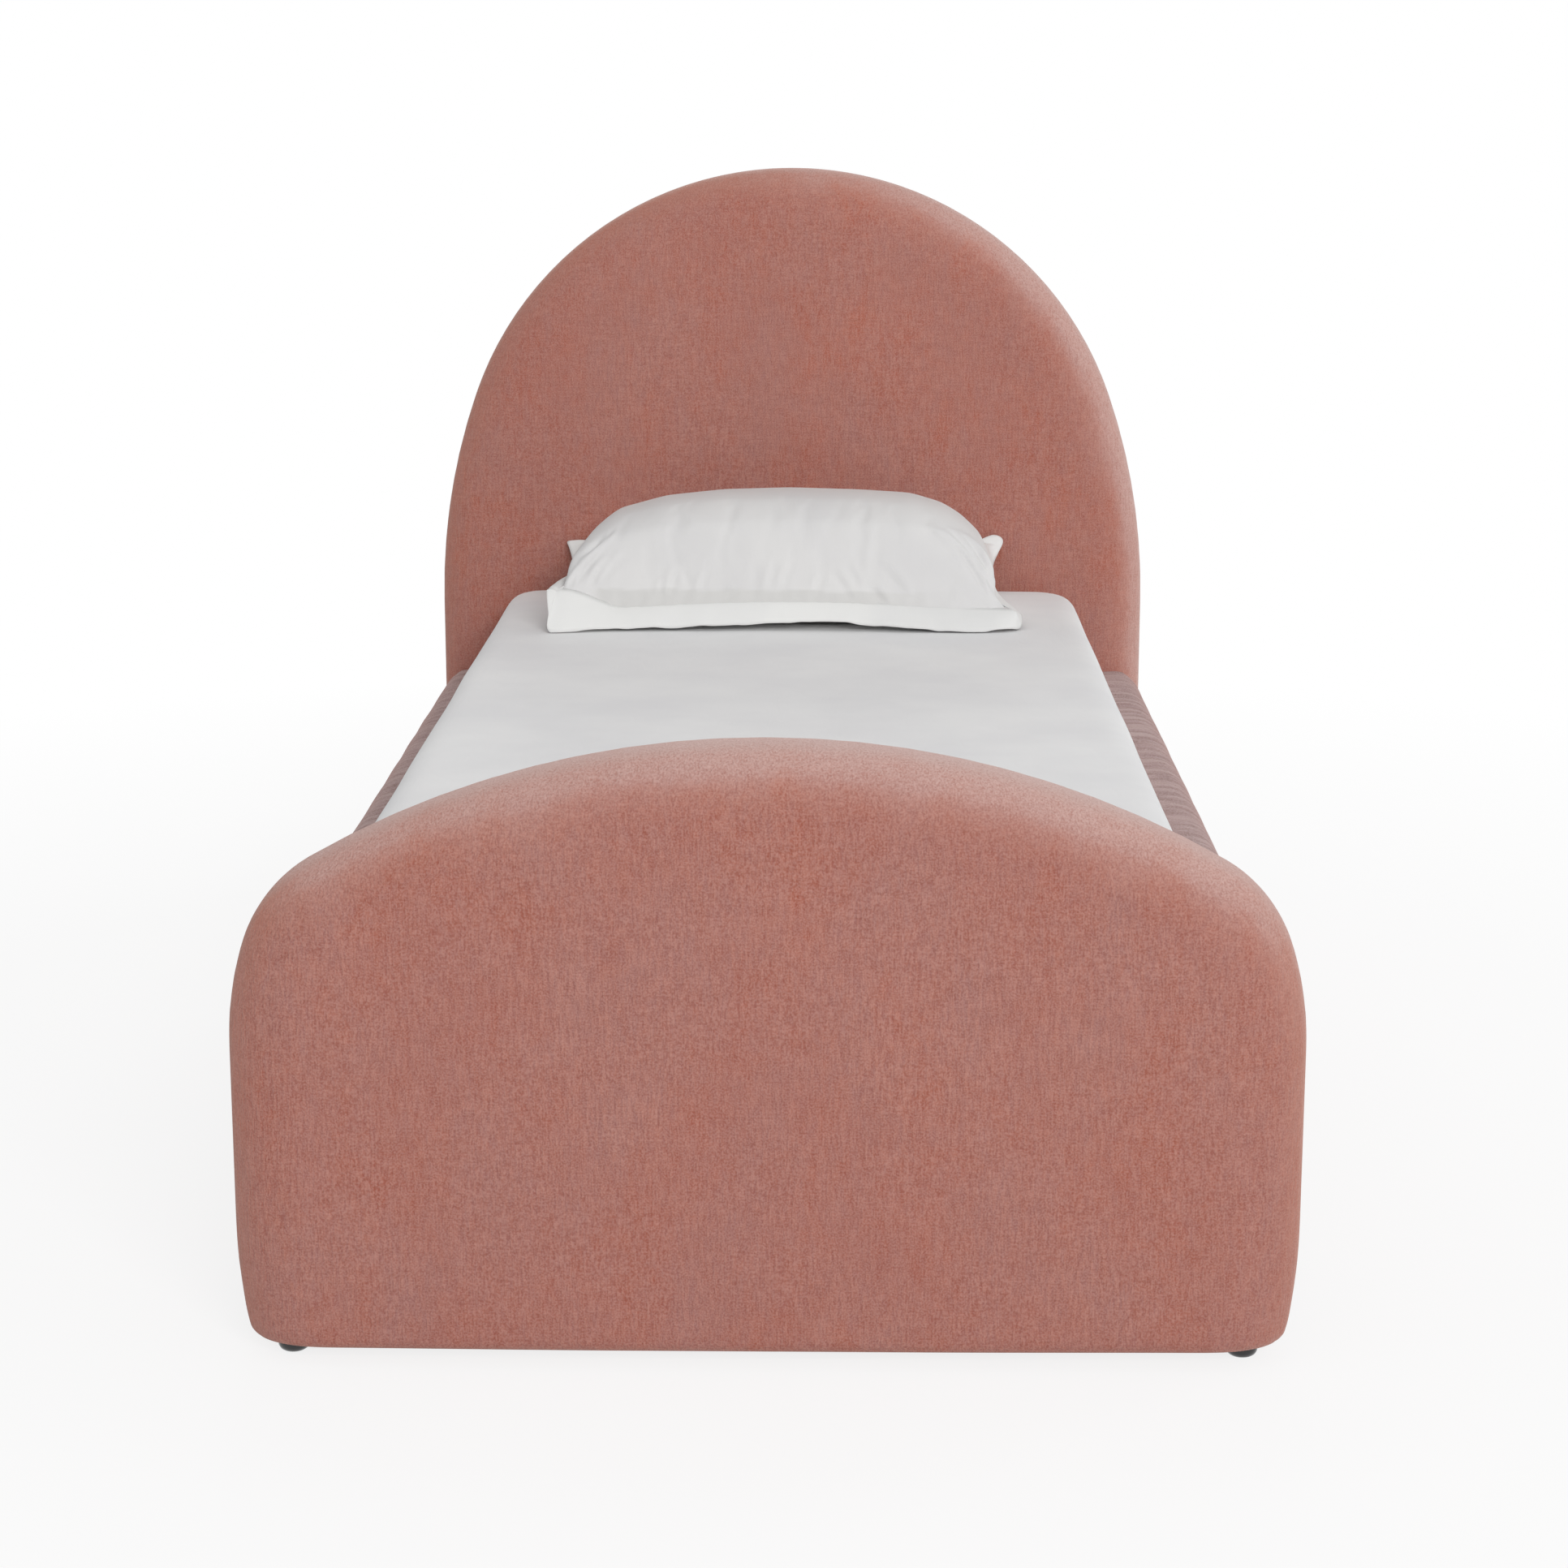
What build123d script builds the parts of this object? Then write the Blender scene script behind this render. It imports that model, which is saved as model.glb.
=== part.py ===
from build123d import *
import math
import os

# A single panel bed, dressed as it is used: two arched padded end boards, two padded side
# rails, a slatted base on a centre beam, a mattress in a fitted sheet, and one pillow.
# Millimetres, +Z up, +Y towards the headboard, the origin on the floor under the middle.

# Mattress, which sets the length and width inside the frame
mattress_width = 965
mattress_length = 1905
mattress_thickness = 254
mattress_corner_radius = 70
mattress_top_radius = 35
mattress_bottom_chamfer = 15
mattress_end_gap = 12
mattress_side_gap = 13.5
mattress_wrap = 12
comfort_layer = 60

# Outside of the bed
headboard_height = 1267
footboard_height = 711
board_thickness = 140
floor_gap = 18
edge_radius = 62
base_chamfer = 14
tuck_radius = 720
rail_thickness = 105
rail_inset = 2
rail_top = 404
rail_height = 340
rail_outer_radius = 29
rail_inner_radius = 14
rail_bottom_radius = 10
rail_inner_bottom_radius = 4
slat_top = 311

# Outline of each board: arc radius as a share of the half width, and the angle from straight
# up at which that arc ends; a last arc then closes onto the upright side
headboard_arc_shares = ((0.9536, 70),)
footboard_arc_shares = ((1.6915, 30), (0.2736, 72))
tuck_start_share = 0.225
rail_wrap_share = 0.6

# Upholstery: velvet over wadding that rounds off square-cut foam
velvet_thickness = 1.8
board_wadding = 19.5
rail_wadding = 10
rail_inner_wadding = 6
board_gap = 0.3
glue_gap = 0.5
cover_turn_under = 46
cover_turn_under_end = 90
dust_cloth_thickness = 1
dust_cloth_gap = 0.5

# Timber frame inside each end board
frame_inset = 34
panel_thickness = 9
panel_lift = 3
rib_thickness = 12
post_width = 60
post_margin = 3
cross_rail_height = 45
mount_block_margin = 10

# Timber box inside each side rail
rail_panel = 12
rail_top_foam = 16
rail_side_foam = 14
rail_core_end_gap = 5
batten_height = 40
end_block_length = 60
rail_rib_length = 30
rail_rib_count = 3

# Slatted base
slat_width = 68
slat_thickness = 18
slat_count = 14
slat_end_gap = 20
slat_side_gap = 6
ledge_width = 30
ledge_height = 40
ledge_end_gap = 6
webbing_width = 25
webbing_thickness = 1.2
webbing_spacing = 500

# Centre beam, its steel cradles and its two legs
beam_width = 44
beam_height = 55
beam_end_gap = 1.5
cradle_plate = 3
cradle_depth = 40
cradle_wall_height = 45
cradle_side_gap = 0.3
cradle_plate_width = 90
cradle_drop = 48
cradle_bolt_spacing = 60
cradle_bolt_drop = 28
leg_tube_width = 38
leg_tube_wall = 1.5
leg_flange_length = 80
leg_flange_thickness = 3
leg_foot_height = 40
leg_screw_spacing = 60
plug_length = 28
plug_gap = 0.1

# Screw-in levelling foot under each leg
stem_radius = 5
stem_reach = 70
stem_neck_radius = 4
stem_foot_radius = 6
stem_foot_height = 7
collar_flats = 17
collar_height = 6
collar_lift = 1.5
pad_radius = 20
pad_height = 12.5
pad_floor = 4
running_gap = 0.08

# Corner brackets, M8 bolts and threaded inserts
bracket_plate = 4
bracket_height = 110
bracket_board_leg = 50
bracket_rail_leg = 60
bracket_bend_radius = 3
bracket_clearance = 13
bracket_bolt_offset = 28
bracket_bolt_spacing = 60
bolt_radius = 4
bolt_hole_radius = 4.5
fastener_sides = 6
bolt_head_flats = 13
bolt_head_height = 5.3
bolt_length = 16
insert_radius = 6
insert_length = 12
fit_gap = 0.05

# Countersunk wood screws, six-sided where the thread is
screw_radius = 2.2
screw_head_radius = 4.3
screw_head_height = 2.8
screw_sides = 6
screw_bite_share = 0.7
leg_screw_bite = 24
ledge_screw_count = 4

# Corner glides
glide_radius = 18.5
glide_side_inset = 62
glide_y_offset = 14
glide_pin_radius = 3
glide_pin_depth = 10
glide_pin_bite = 30

# Pillow: body, then the flat border sewn round its case
pillow_width = 650
pillow_front = 548
pillow_back_gap = 12
pillow_height = 187
pillow_front_seam = 14
pillow_back_seam = 95
pillow_seat_gap = 0.3
pillow_border = 48
pillow_border_thickness = 3
pillow_border_corner = 25
pillow_case_cloth = 1.5
pillow_fill_gap = 0.5
pillow_front_bulge = 2
pillow_back_bulge = 16
pillow_draw_in = 12

# Sections of the pillow: place along its half width, share of the full crown, share of the
# draw-in at the front edge
pillow_section_shares = (
    (-1, 0.2, 0),
    (-0.94, 0.52, 0.1),
    (-0.8, 0.78, 0.4),
    (-0.42, 0.94, 0.85),
    (0, 1, 1),
    (0.42, 0.96, 0.85),
    (0.8, 0.82, 0.4),
    (0.94, 0.54, 0.1),
    (1, 0.2, 0),
)
# Places along a pillow section, as shares from its front seam to its back seam
pillow_crown_share = 0.48
pillow_rest_front_share = 0.09
pillow_rest_back_share = 0.74
# Straight sides that the filling's top is drawn with, inside the curved case
filling_sides = 6

# One overrun for every cut that has to pass clean through
overrun = 5

# Places that follow from the sizes above
mattress_bottom = slat_top
mattress_top = mattress_bottom + mattress_thickness
rail_inner_x = mattress_width / 2 + mattress_side_gap
rail_outer_x = rail_inner_x + rail_thickness
half_width = rail_outer_x + rail_inset
board_face_y = mattress_length / 2 + mattress_end_gap
board_y = board_face_y + board_thickness / 2
tuck_start = footboard_height * tuck_start_share
frame_bottom = floor_gap + velvet_thickness
foam_bottom = floor_gap + base_chamfer
frame_depth = board_thickness - 2 * frame_inset
stud_depth = frame_depth - 2 * panel_thickness
tuck_depth = tuck_radius - math.sqrt(tuck_radius**2 - (tuck_start - floor_gap) ** 2)
post_outer = half_width - tuck_depth - frame_inset - post_margin
post_inner = post_outer - post_width
glide_x = half_width - glide_side_inset
ledge_top = slat_top - slat_thickness
ledge_bottom = ledge_top - ledge_height
beam_bottom = ledge_top - beam_height
bracket_top = ledge_bottom - bracket_clearance
bracket_bottom = bracket_top - bracket_height
bracket_middle = (bracket_top + bracket_bottom) / 2
bolt_heights = [bracket_middle + side * bracket_bolt_spacing / 2 for side in (-1, 1)]
board_bolt_x = rail_inner_x - bracket_bolt_offset
rail_bolt_y = board_face_y - bracket_bolt_offset
cradle_bottom = beam_bottom - cradle_plate
cradle_bolt_z = cradle_bottom - cradle_bolt_drop
leg_y = board_face_y / 2
rail_bottom = rail_top - rail_height
rail_core_half = board_face_y - rail_core_end_gap
rail_core_top = rail_top - rail_wadding - rail_top_foam
rail_core_bottom = rail_bottom + velvet_thickness
rail_core_inner = rail_inner_x + velvet_thickness
rail_core_outer = rail_outer_x - rail_wadding - rail_side_foam
bracket_bolt_points = [(side * board_bolt_x, z) for side in (-1, 1) for z in bolt_heights]
cradle_bolt_points = [(side * cradle_bolt_spacing / 2, cradle_bolt_z) for side in (-1, 1)]
board_bolt_points = bracket_bolt_points + cradle_bolt_points

upright = (Align.CENTER, Align.CENTER, Align.MIN)
corner = (Align.MIN, Align.MIN, Align.MIN)
on_headboard = Pos(0, board_y, 0)
on_footboard = Pos(0, -board_y, 0) * Rot(0, 0, 180)


# Helpers
def block(x0, x1, y0, y1, z0, z1):
    """A rectangular block between two opposite corners."""
    return Pos(x0, y0, z0) * Box(x1 - x0, y1 - y0, z1 - z0, align=corner)


def at(x, y, z, direction=(0, 0, 1)):
    """The place of a piece that is drawn along its own Z axis."""
    return Plane(origin=(x, y, z), z_dir=direction).location


def rod(radius, length):
    """A round bar from its own origin along Z."""
    return Cylinder(radius, length, align=upright)


def prism(radius, length):
    """A small fastener's bar, drawn with a few flat sides, from its own origin along Z."""
    return extrude(RegularPolygon(radius, fastener_sides), amount=length)


def placed(place, pieces):
    """Every piece of a list, moved to a place."""
    return [place * piece for piece in pieces]


def both_sides(piece):
    """A piece and its mirror image on the other side of the bed."""
    return [piece, mirror(piece, about=Plane.YZ)]


def both_ends(piece):
    """A piece and its mirror image at the other end of the bed."""
    return [piece, mirror(piece, about=Plane.XZ)]


def other_side(pieces):
    """The mirror image of every piece of a list on the other side of the bed."""
    return [mirror(piece, about=Plane.YZ) for piece in pieces]


# Outline of the end boards
def outline_arcs(height, arc_shares, inset):
    """Arcs down the right half of a board, each as centre x, centre z, radius, first angle and
    last angle from straight up, drawn in by inset. The last one closes onto the upright side."""
    radius = arc_shares[0][0] * half_width
    centre_x = 0
    centre_z = height - radius
    angle = 0
    arcs = []
    for share, last_angle in arc_shares:
        next_radius = share * half_width
        centre_x += (radius - next_radius) * math.sin(math.radians(angle))
        centre_z += (radius - next_radius) * math.cos(math.radians(angle))
        radius = next_radius
        arcs.append((centre_x, centre_z, radius - inset, angle, last_angle))
        angle = last_angle
    sine = math.sin(math.radians(angle))
    closing_radius = (half_width - centre_x - radius * sine) / (1 - sine)
    centre_x += (radius - closing_radius) * sine
    centre_z += (radius - closing_radius) * math.cos(math.radians(angle))
    arcs.append((centre_x, centre_z, closing_radius - inset, angle, 90))
    return arcs


def arc_point(arc, angle, side=1):
    """A point of an outline arc, on the right or left half."""
    centre_x, centre_z, radius = arc[:3]
    x = centre_x + radius * math.sin(math.radians(angle))
    z = centre_z + radius * math.cos(math.radians(angle))
    return side * x, 0, z


def outline_height(arcs, x):
    """Height of the outline over a place x on the right half."""
    for arc in arcs:
        if x <= arc_point(arc, arc[4])[0]:
            return arc[1] + math.sqrt(arc[2] ** 2 - (x - arc[0]) ** 2)
    return arcs[-1][1]


def arch_face(height, arc_shares, inset, bottom):
    """The arched outline drawn in by inset, cut off level at its bottom."""
    arcs = outline_arcs(height, arc_shares, inset)
    crown = arcs[0]
    edges = [
        ThreePointArc(arc_point(crown, crown[4], -1), arc_point(crown, 0), arc_point(crown, crown[4]))
    ]
    side_x = half_width - inset
    tuck_x = half_width - tuck_radius
    tuck_arc_radius = tuck_radius - inset
    tuck_angle = math.asin((tuck_start - bottom) / tuck_arc_radius)
    for side in (-1, 1):
        for arc in arcs[1:]:
            middle = (arc[3] + arc[4]) / 2
            points = [arc_point(arc, angle, side) for angle in (arc[3], middle, arc[4])]
            edges.append(ThreePointArc(*points))
        edges.append(Line((side * side_x, 0, arcs[-1][1]), (side * side_x, 0, tuck_start)))
        tuck_points = []
        for turn in (0, tuck_angle / 2, tuck_angle):
            x = tuck_x + tuck_arc_radius * math.cos(turn)
            z = tuck_start - tuck_arc_radius * math.sin(turn)
            tuck_points.append((side * x, 0, z))
        edges.append(ThreePointArc(*tuck_points))
    base_x = tuck_points[-1][0]
    edges.append(Line((-base_x, 0, bottom), (base_x, 0, bottom)))
    return Face(Wire(edges))


def arch_slab(height, arc_shares, inset, bottom, depth):
    """A level-bottomed arched slab, centred on the board's middle plane."""
    return extrude(arch_face(height, arc_shares, inset, bottom), amount=depth / 2, both=True)


def board_form(height, arc_shares, inset):
    """The whole padded board with every face drawn in by inset: broad round edges at the
    sides and over the top, and a small chamfer round the base."""
    depth = board_thickness - 2 * inset
    form = arch_slab(height, arc_shares, inset, floor_gap + inset, depth)
    faces = form.faces().sort_by(Axis.Y)
    rims = faces[0].edges().sort_by(Axis.Z)[1:] + faces[-1].edges().sort_by(Axis.Z)[1:]
    form = fillet(rims, edge_radius - inset)
    return chamfer(form.faces().sort_by(Axis.Z)[0].edges(), base_chamfer - inset)


# End boards, drawn about their middle plane with the mattress side towards -Y
def bolt_bores(points, radius, start_y, length):
    """Bores along +Y at the board's bolt points."""
    return [at(x, start_y, z, (0, 1, 0)) * prism(radius, length) for x, z in points]


def panel(height, arc_shares, side):
    """Plywood skin over one side of the timber frame."""
    slab = arch_slab(height, arc_shares, frame_inset, frame_bottom + panel_lift, panel_thickness)
    return [Pos(0, side * (stud_depth + panel_thickness) / 2, 0) * slab]


def posts(height, arc_shares):
    """Two upright posts, as tall as the outline leaves room for, bored for the glide pins."""
    top = outline_height(outline_arcs(height, arc_shares, frame_inset), post_outer)
    post = block(post_inner, post_outer, -stud_depth / 2, stud_depth / 2, frame_bottom, top)
    bore = at(glide_x, glide_y_offset, frame_bottom - overrun)
    post -= bore * prism(glide_pin_radius + fit_gap, glide_pin_bite + 2 * overrun)
    return both_sides(post)


def cross_rails(height, arc_shares):
    """Rails between the posts at the base, behind the brackets and at the post tops, and a
    stud from the upper one to the arch."""
    arcs = outline_arcs(height, arc_shares, frame_inset)
    top = outline_height(arcs, post_outer)
    front = -stud_depth / 2
    levels = [
        (frame_bottom, frame_bottom + cross_rail_height),
        (bracket_bottom, bracket_top),
        (top - cross_rail_height, top),
    ]
    rails = [block(-post_inner, post_inner, front, -front, low, high) for low, high in levels]
    stud = block(-cross_rail_height / 2, cross_rail_height / 2, front, -front, top, height)
    room = arch_slab(height, arc_shares, frame_inset + rib_thickness + glue_gap, frame_bottom, stud_depth)
    rails.append(stud & room)
    return rails


def arch_rib(height, arc_shares):
    """Bent plywood rib that joins the two skins round the arch, standing on the posts."""
    top = outline_height(outline_arcs(height, arc_shares, frame_inset), post_outer)
    ring = arch_slab(height, arc_shares, frame_inset, frame_bottom, stud_depth)
    ring -= arch_slab(height, arc_shares, frame_inset + rib_thickness, frame_bottom, stud_depth + overrun)
    return [ring - block(-half_width, half_width, -board_thickness, board_thickness, 0, top)]


def mount_block_blanks():
    """Hardwood blocks that carry the brackets and the beam cradle through the foam."""
    front = -board_thickness / 2 + velvet_thickness
    back = -frame_depth / 2
    reach = bracket_board_leg / 2 + mount_block_margin
    low = bracket_bottom - mount_block_margin
    high = bracket_top + mount_block_margin
    side = block(board_bolt_x - reach, board_bolt_x + reach, front, back, low, high)
    half = cradle_plate_width / 2 + mount_block_margin
    low = cradle_bottom - cradle_drop - mount_block_margin
    middle = block(-half, half, front, back, low, ledge_top)
    return both_sides(side) + [middle]


def mount_blocks():
    """The mount blocks, bored for their threaded inserts."""
    start = -board_thickness / 2 + velvet_thickness
    bores = bolt_bores(board_bolt_points, insert_radius + fit_gap, start, insert_length)
    return [blank - bores for blank in mount_block_blanks()]


def frame_room(height, arc_shares):
    """The room that the timber frame takes inside the padding."""
    depth = frame_depth + 2 * glue_gap
    return arch_slab(height, arc_shares, frame_inset - glue_gap, frame_bottom, depth)


def board_foam(height, arc_shares):
    """Square-cut foam over the front, back, sides and top of the frame, let in for the mount
    blocks."""
    inset = board_wadding + glue_gap
    foam = arch_slab(height, arc_shares, inset, foam_bottom, board_thickness - 2 * inset)
    return [foam - frame_room(height, arc_shares) - mount_block_blanks()]


def board_cover(height, arc_shares):
    """Velvet cover with its wadding, hollow for the foam, frame and mount blocks, turned under
    the base all round and pierced for the bolts and glide pins."""
    opening_x = half_width - tuck_depth - cover_turn_under_end
    opening_y = board_thickness / 2 - cover_turn_under
    cover = board_form(height, arc_shares, 0) - frame_room(height, arc_shares) - mount_block_blanks()
    depth = board_thickness - 2 * board_wadding
    cover -= arch_slab(height, arc_shares, board_wadding, foam_bottom, depth)
    cover -= block(-opening_x, opening_x, -opening_y, opening_y, 0, frame_bottom)
    start = -board_thickness / 2 - overrun
    cover -= bolt_bores(board_bolt_points, bolt_hole_radius, start, velvet_thickness + 2 * overrun)
    for side in (-1, 1):
        cover -= at(side * glide_x, glide_y_offset, 0) * prism(glide_pin_radius + fit_gap, frame_bottom)
    return [cover]


def board_dust_cloth():
    """Dust cloth stapled over the opening under a board."""
    half_x = half_width - tuck_depth - cover_turn_under_end - dust_cloth_gap
    half_y = board_thickness / 2 - cover_turn_under - dust_cloth_gap
    low = frame_bottom - dust_cloth_thickness
    return block(-half_x, half_x, -half_y, half_y, low, frame_bottom)


def board_glides():
    """Round plastic glides under the posts, each on a steel pin driven into the post."""
    pin_foot = Pos(0, 0, floor_gap - glide_pin_depth)
    glide = rod(glide_radius, floor_gap) - pin_foot * prism(glide_pin_radius + fit_gap, glide_pin_depth + overrun)
    pin = pin_foot * prism(glide_pin_radius, glide_pin_depth + velvet_thickness + glide_pin_bite)
    places = [Pos(side * glide_x, glide_y_offset, 0) for side in (-1, 1)]
    return [place * glide for place in places], [place * pin for place in places]


# Side rails, drawn on the right and mirrored to the left
def rail_form():
    """The whole padded rail, its long edges rounded and its ends shaped to the boards."""
    half = board_face_y + edge_radius * rail_wrap_share
    form = block(rail_inner_x, rail_outer_x, -half, half, rail_bottom, rail_top)
    radii = [rail_inner_bottom_radius, rail_inner_radius, rail_bottom_radius, rail_outer_radius]
    corners = [(x, 0, z) for x in (rail_inner_x, rail_outer_x) for z in (rail_bottom, rail_top)]
    for place, radius in zip(corners, radii):
        form = fillet(form.edges().filter_by(Axis.Y).sort_by_distance(place)[0], radius)
    form -= on_headboard * board_form(headboard_height, headboard_arc_shares, -board_gap)
    form -= on_footboard * board_form(footboard_height, footboard_arc_shares, -board_gap)
    return form


def rail_core(gap=0):
    """The room that the timber box takes inside a rail, with a gap for glue on its outer side
    and its top."""
    high_x = rail_core_outer + gap
    high_z = rail_core_top + gap
    return block(rail_core_inner, high_x, -rail_core_half, rail_core_half, rail_core_bottom, high_z)


def rail_padding(gap=0):
    """The room that the timber box and its foam take inside the wadding, drawn in by a gap."""
    low_x = rail_inner_x + rail_inner_wadding + gap
    high_x = rail_outer_x - rail_wadding - gap
    high_z = rail_top - rail_wadding - gap
    return block(low_x, high_x, -rail_core_half, rail_core_half, rail_core_bottom, high_z)


def rail_bores(radius, start_x, length):
    """Bores along +X at a rail's bolt points."""
    points = [(end * rail_bolt_y, z) for end in (-1, 1) for z in bolt_heights]
    return [at(start_x, y, z, (1, 0, 0)) * prism(radius, length) for y, z in points]


def ledge_screw_places():
    """Where the ledge screws enter the ledge's face, pointing outwards."""
    pitch = 2 * board_face_y / ledge_screw_count
    middle = (ledge_top + ledge_bottom) / 2
    steps = [index - (ledge_screw_count - 1) / 2 for index in range(ledge_screw_count)]
    return [at(rail_inner_x - ledge_width, step * pitch, middle, (1, 0, 0)) for step in steps]


def screw_form(length, clearance=0):
    """A countersunk wood screw with its head's top at the origin, pointing along +Z."""
    wide = RegularPolygon(screw_head_radius + clearance, screw_sides)
    narrow = RegularPolygon(screw_radius + clearance, screw_sides)
    head = loft([wide.face(), (Pos(0, 0, screw_head_height) * narrow).face()], ruled=True)
    return head + extrude(narrow, amount=length + clearance)


ledge_screw_length = ledge_width + velvet_thickness + rail_panel * screw_bite_share


def rail_panels():
    """The two plywood faces of a rail's box."""
    core = rail_core()
    inner = core - block(
        rail_core_inner + rail_panel, rail_outer_x, -board_y, board_y, 0, rail_top
    )
    outer = core - block(0, rail_core_outer - rail_panel, -board_y, board_y, 0, rail_top)
    inner -= rail_bores(insert_radius + fit_gap, rail_core_inner - overrun, insert_length + overrun)
    inner -= [place * screw_form(ledge_screw_length, fit_gap) for place in ledge_screw_places()]
    return [inner, outer]


def rail_studs():
    """Battens along the top and bottom of the box, a block at each end and ribs between."""
    low_x = rail_core_inner + rail_panel
    high_x = rail_core_outer - rail_panel
    low_z = rail_core_bottom + batten_height
    high_z = rail_core_top - batten_height
    half = rail_core_half
    studs = [
        block(low_x, high_x, -half, half, rail_core_bottom, low_z),
        block(low_x, high_x, -half, half, high_z, rail_core_top),
    ]
    studs += both_ends(block(low_x, high_x, half - end_block_length, half, low_z, high_z))
    pitch = 2 * half / (rail_rib_count + 1)
    for index in range(rail_rib_count):
        middle = (index + 1) * pitch - half
        near = middle - rail_rib_length / 2
        studs.append(block(low_x, high_x, near, near + rail_rib_length, low_z, high_z))
    return studs


def rail_foam():
    """Square-cut foam over the top and the outer face of a rail."""
    return [rail_padding(glue_gap) - rail_core(glue_gap)]


def rail_opening(shrink, low, high):
    """The strip under a rail that the cover leaves open."""
    x0 = rail_inner_x + cover_turn_under / 2 + shrink
    x1 = rail_outer_x - cover_turn_under / 2 - shrink
    half = board_face_y - cover_turn_under - shrink
    return block(x0, x1, -half, half, low, high)


def rail_cover():
    """Velvet cover of a rail with its wadding, hollow for the box and the foam, turned under
    its lower edge and pierced for bolts and screws."""
    cover = rail_form() - rail_core() - rail_padding()
    cover -= rail_opening(0, rail_bottom - overrun, rail_core_bottom)
    cover -= rail_bores(bolt_hole_radius, rail_inner_x - overrun, velvet_thickness + overrun)
    return [cover - [place * screw_form(ledge_screw_length, fit_gap) for place in ledge_screw_places()]]


def rail_dust_cloth():
    """Dust cloth stapled over the open strip under a rail."""
    return rail_opening(dust_cloth_gap, rail_core_bottom - dust_cloth_thickness, rail_core_bottom)


# Slatted base
def slat_places():
    """Middle of each slat along the bed."""
    reach = board_face_y - slat_end_gap - slat_width / 2
    pitch = 2 * reach / (slat_count - 1)
    return [index * pitch - reach for index in range(slat_count)]


slat_screw_length = slat_thickness + ledge_height * screw_bite_share
slat_screw_x = rail_inner_x - ledge_width / 2
slat_screw_places = [
    at(side * slat_screw_x, y, slat_top, (0, 0, -1))
    for side in (-1, 1)
    for y in (slat_places()[0], slat_places()[-1])
]


def slat_screws():
    """Screws that hold the first and last slat down to the ledges."""
    return [place * screw_form(slat_screw_length) for place in slat_screw_places]


def slats():
    """Pine slats that lie across both ledges and the beam."""
    half = rail_inner_x - slat_side_gap
    bores = [place * screw_form(slat_screw_length, fit_gap) for place in slat_screw_places]
    pieces = []
    for y in slat_places():
        slat = block(-half, half, y - slat_width / 2, y + slat_width / 2, ledge_top, slat_top)
        pieces.append(slat)
    pieces[0] -= bores
    pieces[-1] -= bores
    return pieces


def slat_webbing():
    """Two straps stapled under the slats, which keep them evenly spaced."""
    half = board_face_y - slat_end_gap
    x0 = (webbing_spacing - webbing_width) / 2
    strap = block(x0, x0 + webbing_width, -half, half, ledge_top - webbing_thickness, ledge_top)
    return both_sides(strap)


def slat_ledge():
    """Batten along the inside of the right rail that carries the slat ends."""
    half = board_face_y - ledge_end_gap
    ledge = block(rail_inner_x - ledge_width, rail_inner_x, -half, half, ledge_bottom, ledge_top)
    ledge -= [place * screw_form(ledge_screw_length, fit_gap) for place in ledge_screw_places()]
    return [ledge - [place * screw_form(slat_screw_length, fit_gap) for place in slat_screw_places]]


# Centre beam, cradles and legs
def beam():
    """Timber beam under the middle of the slats, bored for the leg screws."""
    half = board_face_y - cradle_plate - beam_end_gap
    bar = block(-beam_width / 2, beam_width / 2, -half, half, beam_bottom, ledge_top)
    return bar - [place * screw_form(leg_screw_length, fit_gap) for place in leg_screw_places]


def beam_cradle():
    """Folded steel cradle at the headboard end: a back plate, a floor and two cheeks."""
    back = board_face_y
    front = back - cradle_plate
    reach = front - cradle_depth
    half = cradle_plate_width / 2
    inner = beam_width / 2 + cradle_side_gap
    outer = inner + cradle_plate
    plate = block(-half, half, front, back, cradle_bottom - cradle_drop, beam_bottom + cradle_wall_height)
    floor = block(-outer, outer, reach, front, cradle_bottom, beam_bottom)
    cheek = block(inner, outer, reach, front, cradle_bottom, beam_bottom + cradle_wall_height)
    cradle = plate + floor + both_sides(cheek)
    rims = cradle.edges().filter_by(Axis.Y).group_by(Axis.Z)[0]
    cradle = fillet(rims, bracket_bend_radius)
    bores = bolt_bores(cradle_bolt_points, bolt_hole_radius, front - overrun, cradle_plate + 2 * overrun)
    return cradle - bores


leg_screw_length = leg_flange_thickness + leg_screw_bite
leg_screw_places = [
    at(0, end * leg_y + side * leg_screw_spacing / 2, beam_bottom - leg_flange_thickness)
    for end in (-1, 1)
    for side in (-1, 1)
]


def support_leg():
    """Steel leg under the beam at the headboard end: a flange welded to a square tube."""
    half_x = beam_width / 2
    half_y = leg_flange_length / 2
    low = beam_bottom - leg_flange_thickness
    flange = block(-half_x, half_x, leg_y - half_y, leg_y + half_y, low, beam_bottom)
    flange -= [place * screw_form(leg_screw_length, fit_gap) for place in leg_screw_places]
    inner_width = leg_tube_width - 2 * leg_tube_wall
    tube = Box(leg_tube_width, leg_tube_width, low - leg_foot_height, align=upright)
    tube -= Box(inner_width, inner_width, low, align=upright)
    return flange + Pos(0, leg_y, leg_foot_height) * tube


def leg_plug():
    """Nylon plug pressed into the foot of a leg, threaded for the levelling stem."""
    width = leg_tube_width - 2 * leg_tube_wall - 2 * plug_gap
    plug = Box(width, width, plug_length, align=upright)
    plug -= rod(stem_radius + running_gap, plug_length)
    return Pos(0, leg_y, leg_foot_height) * plug


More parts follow.
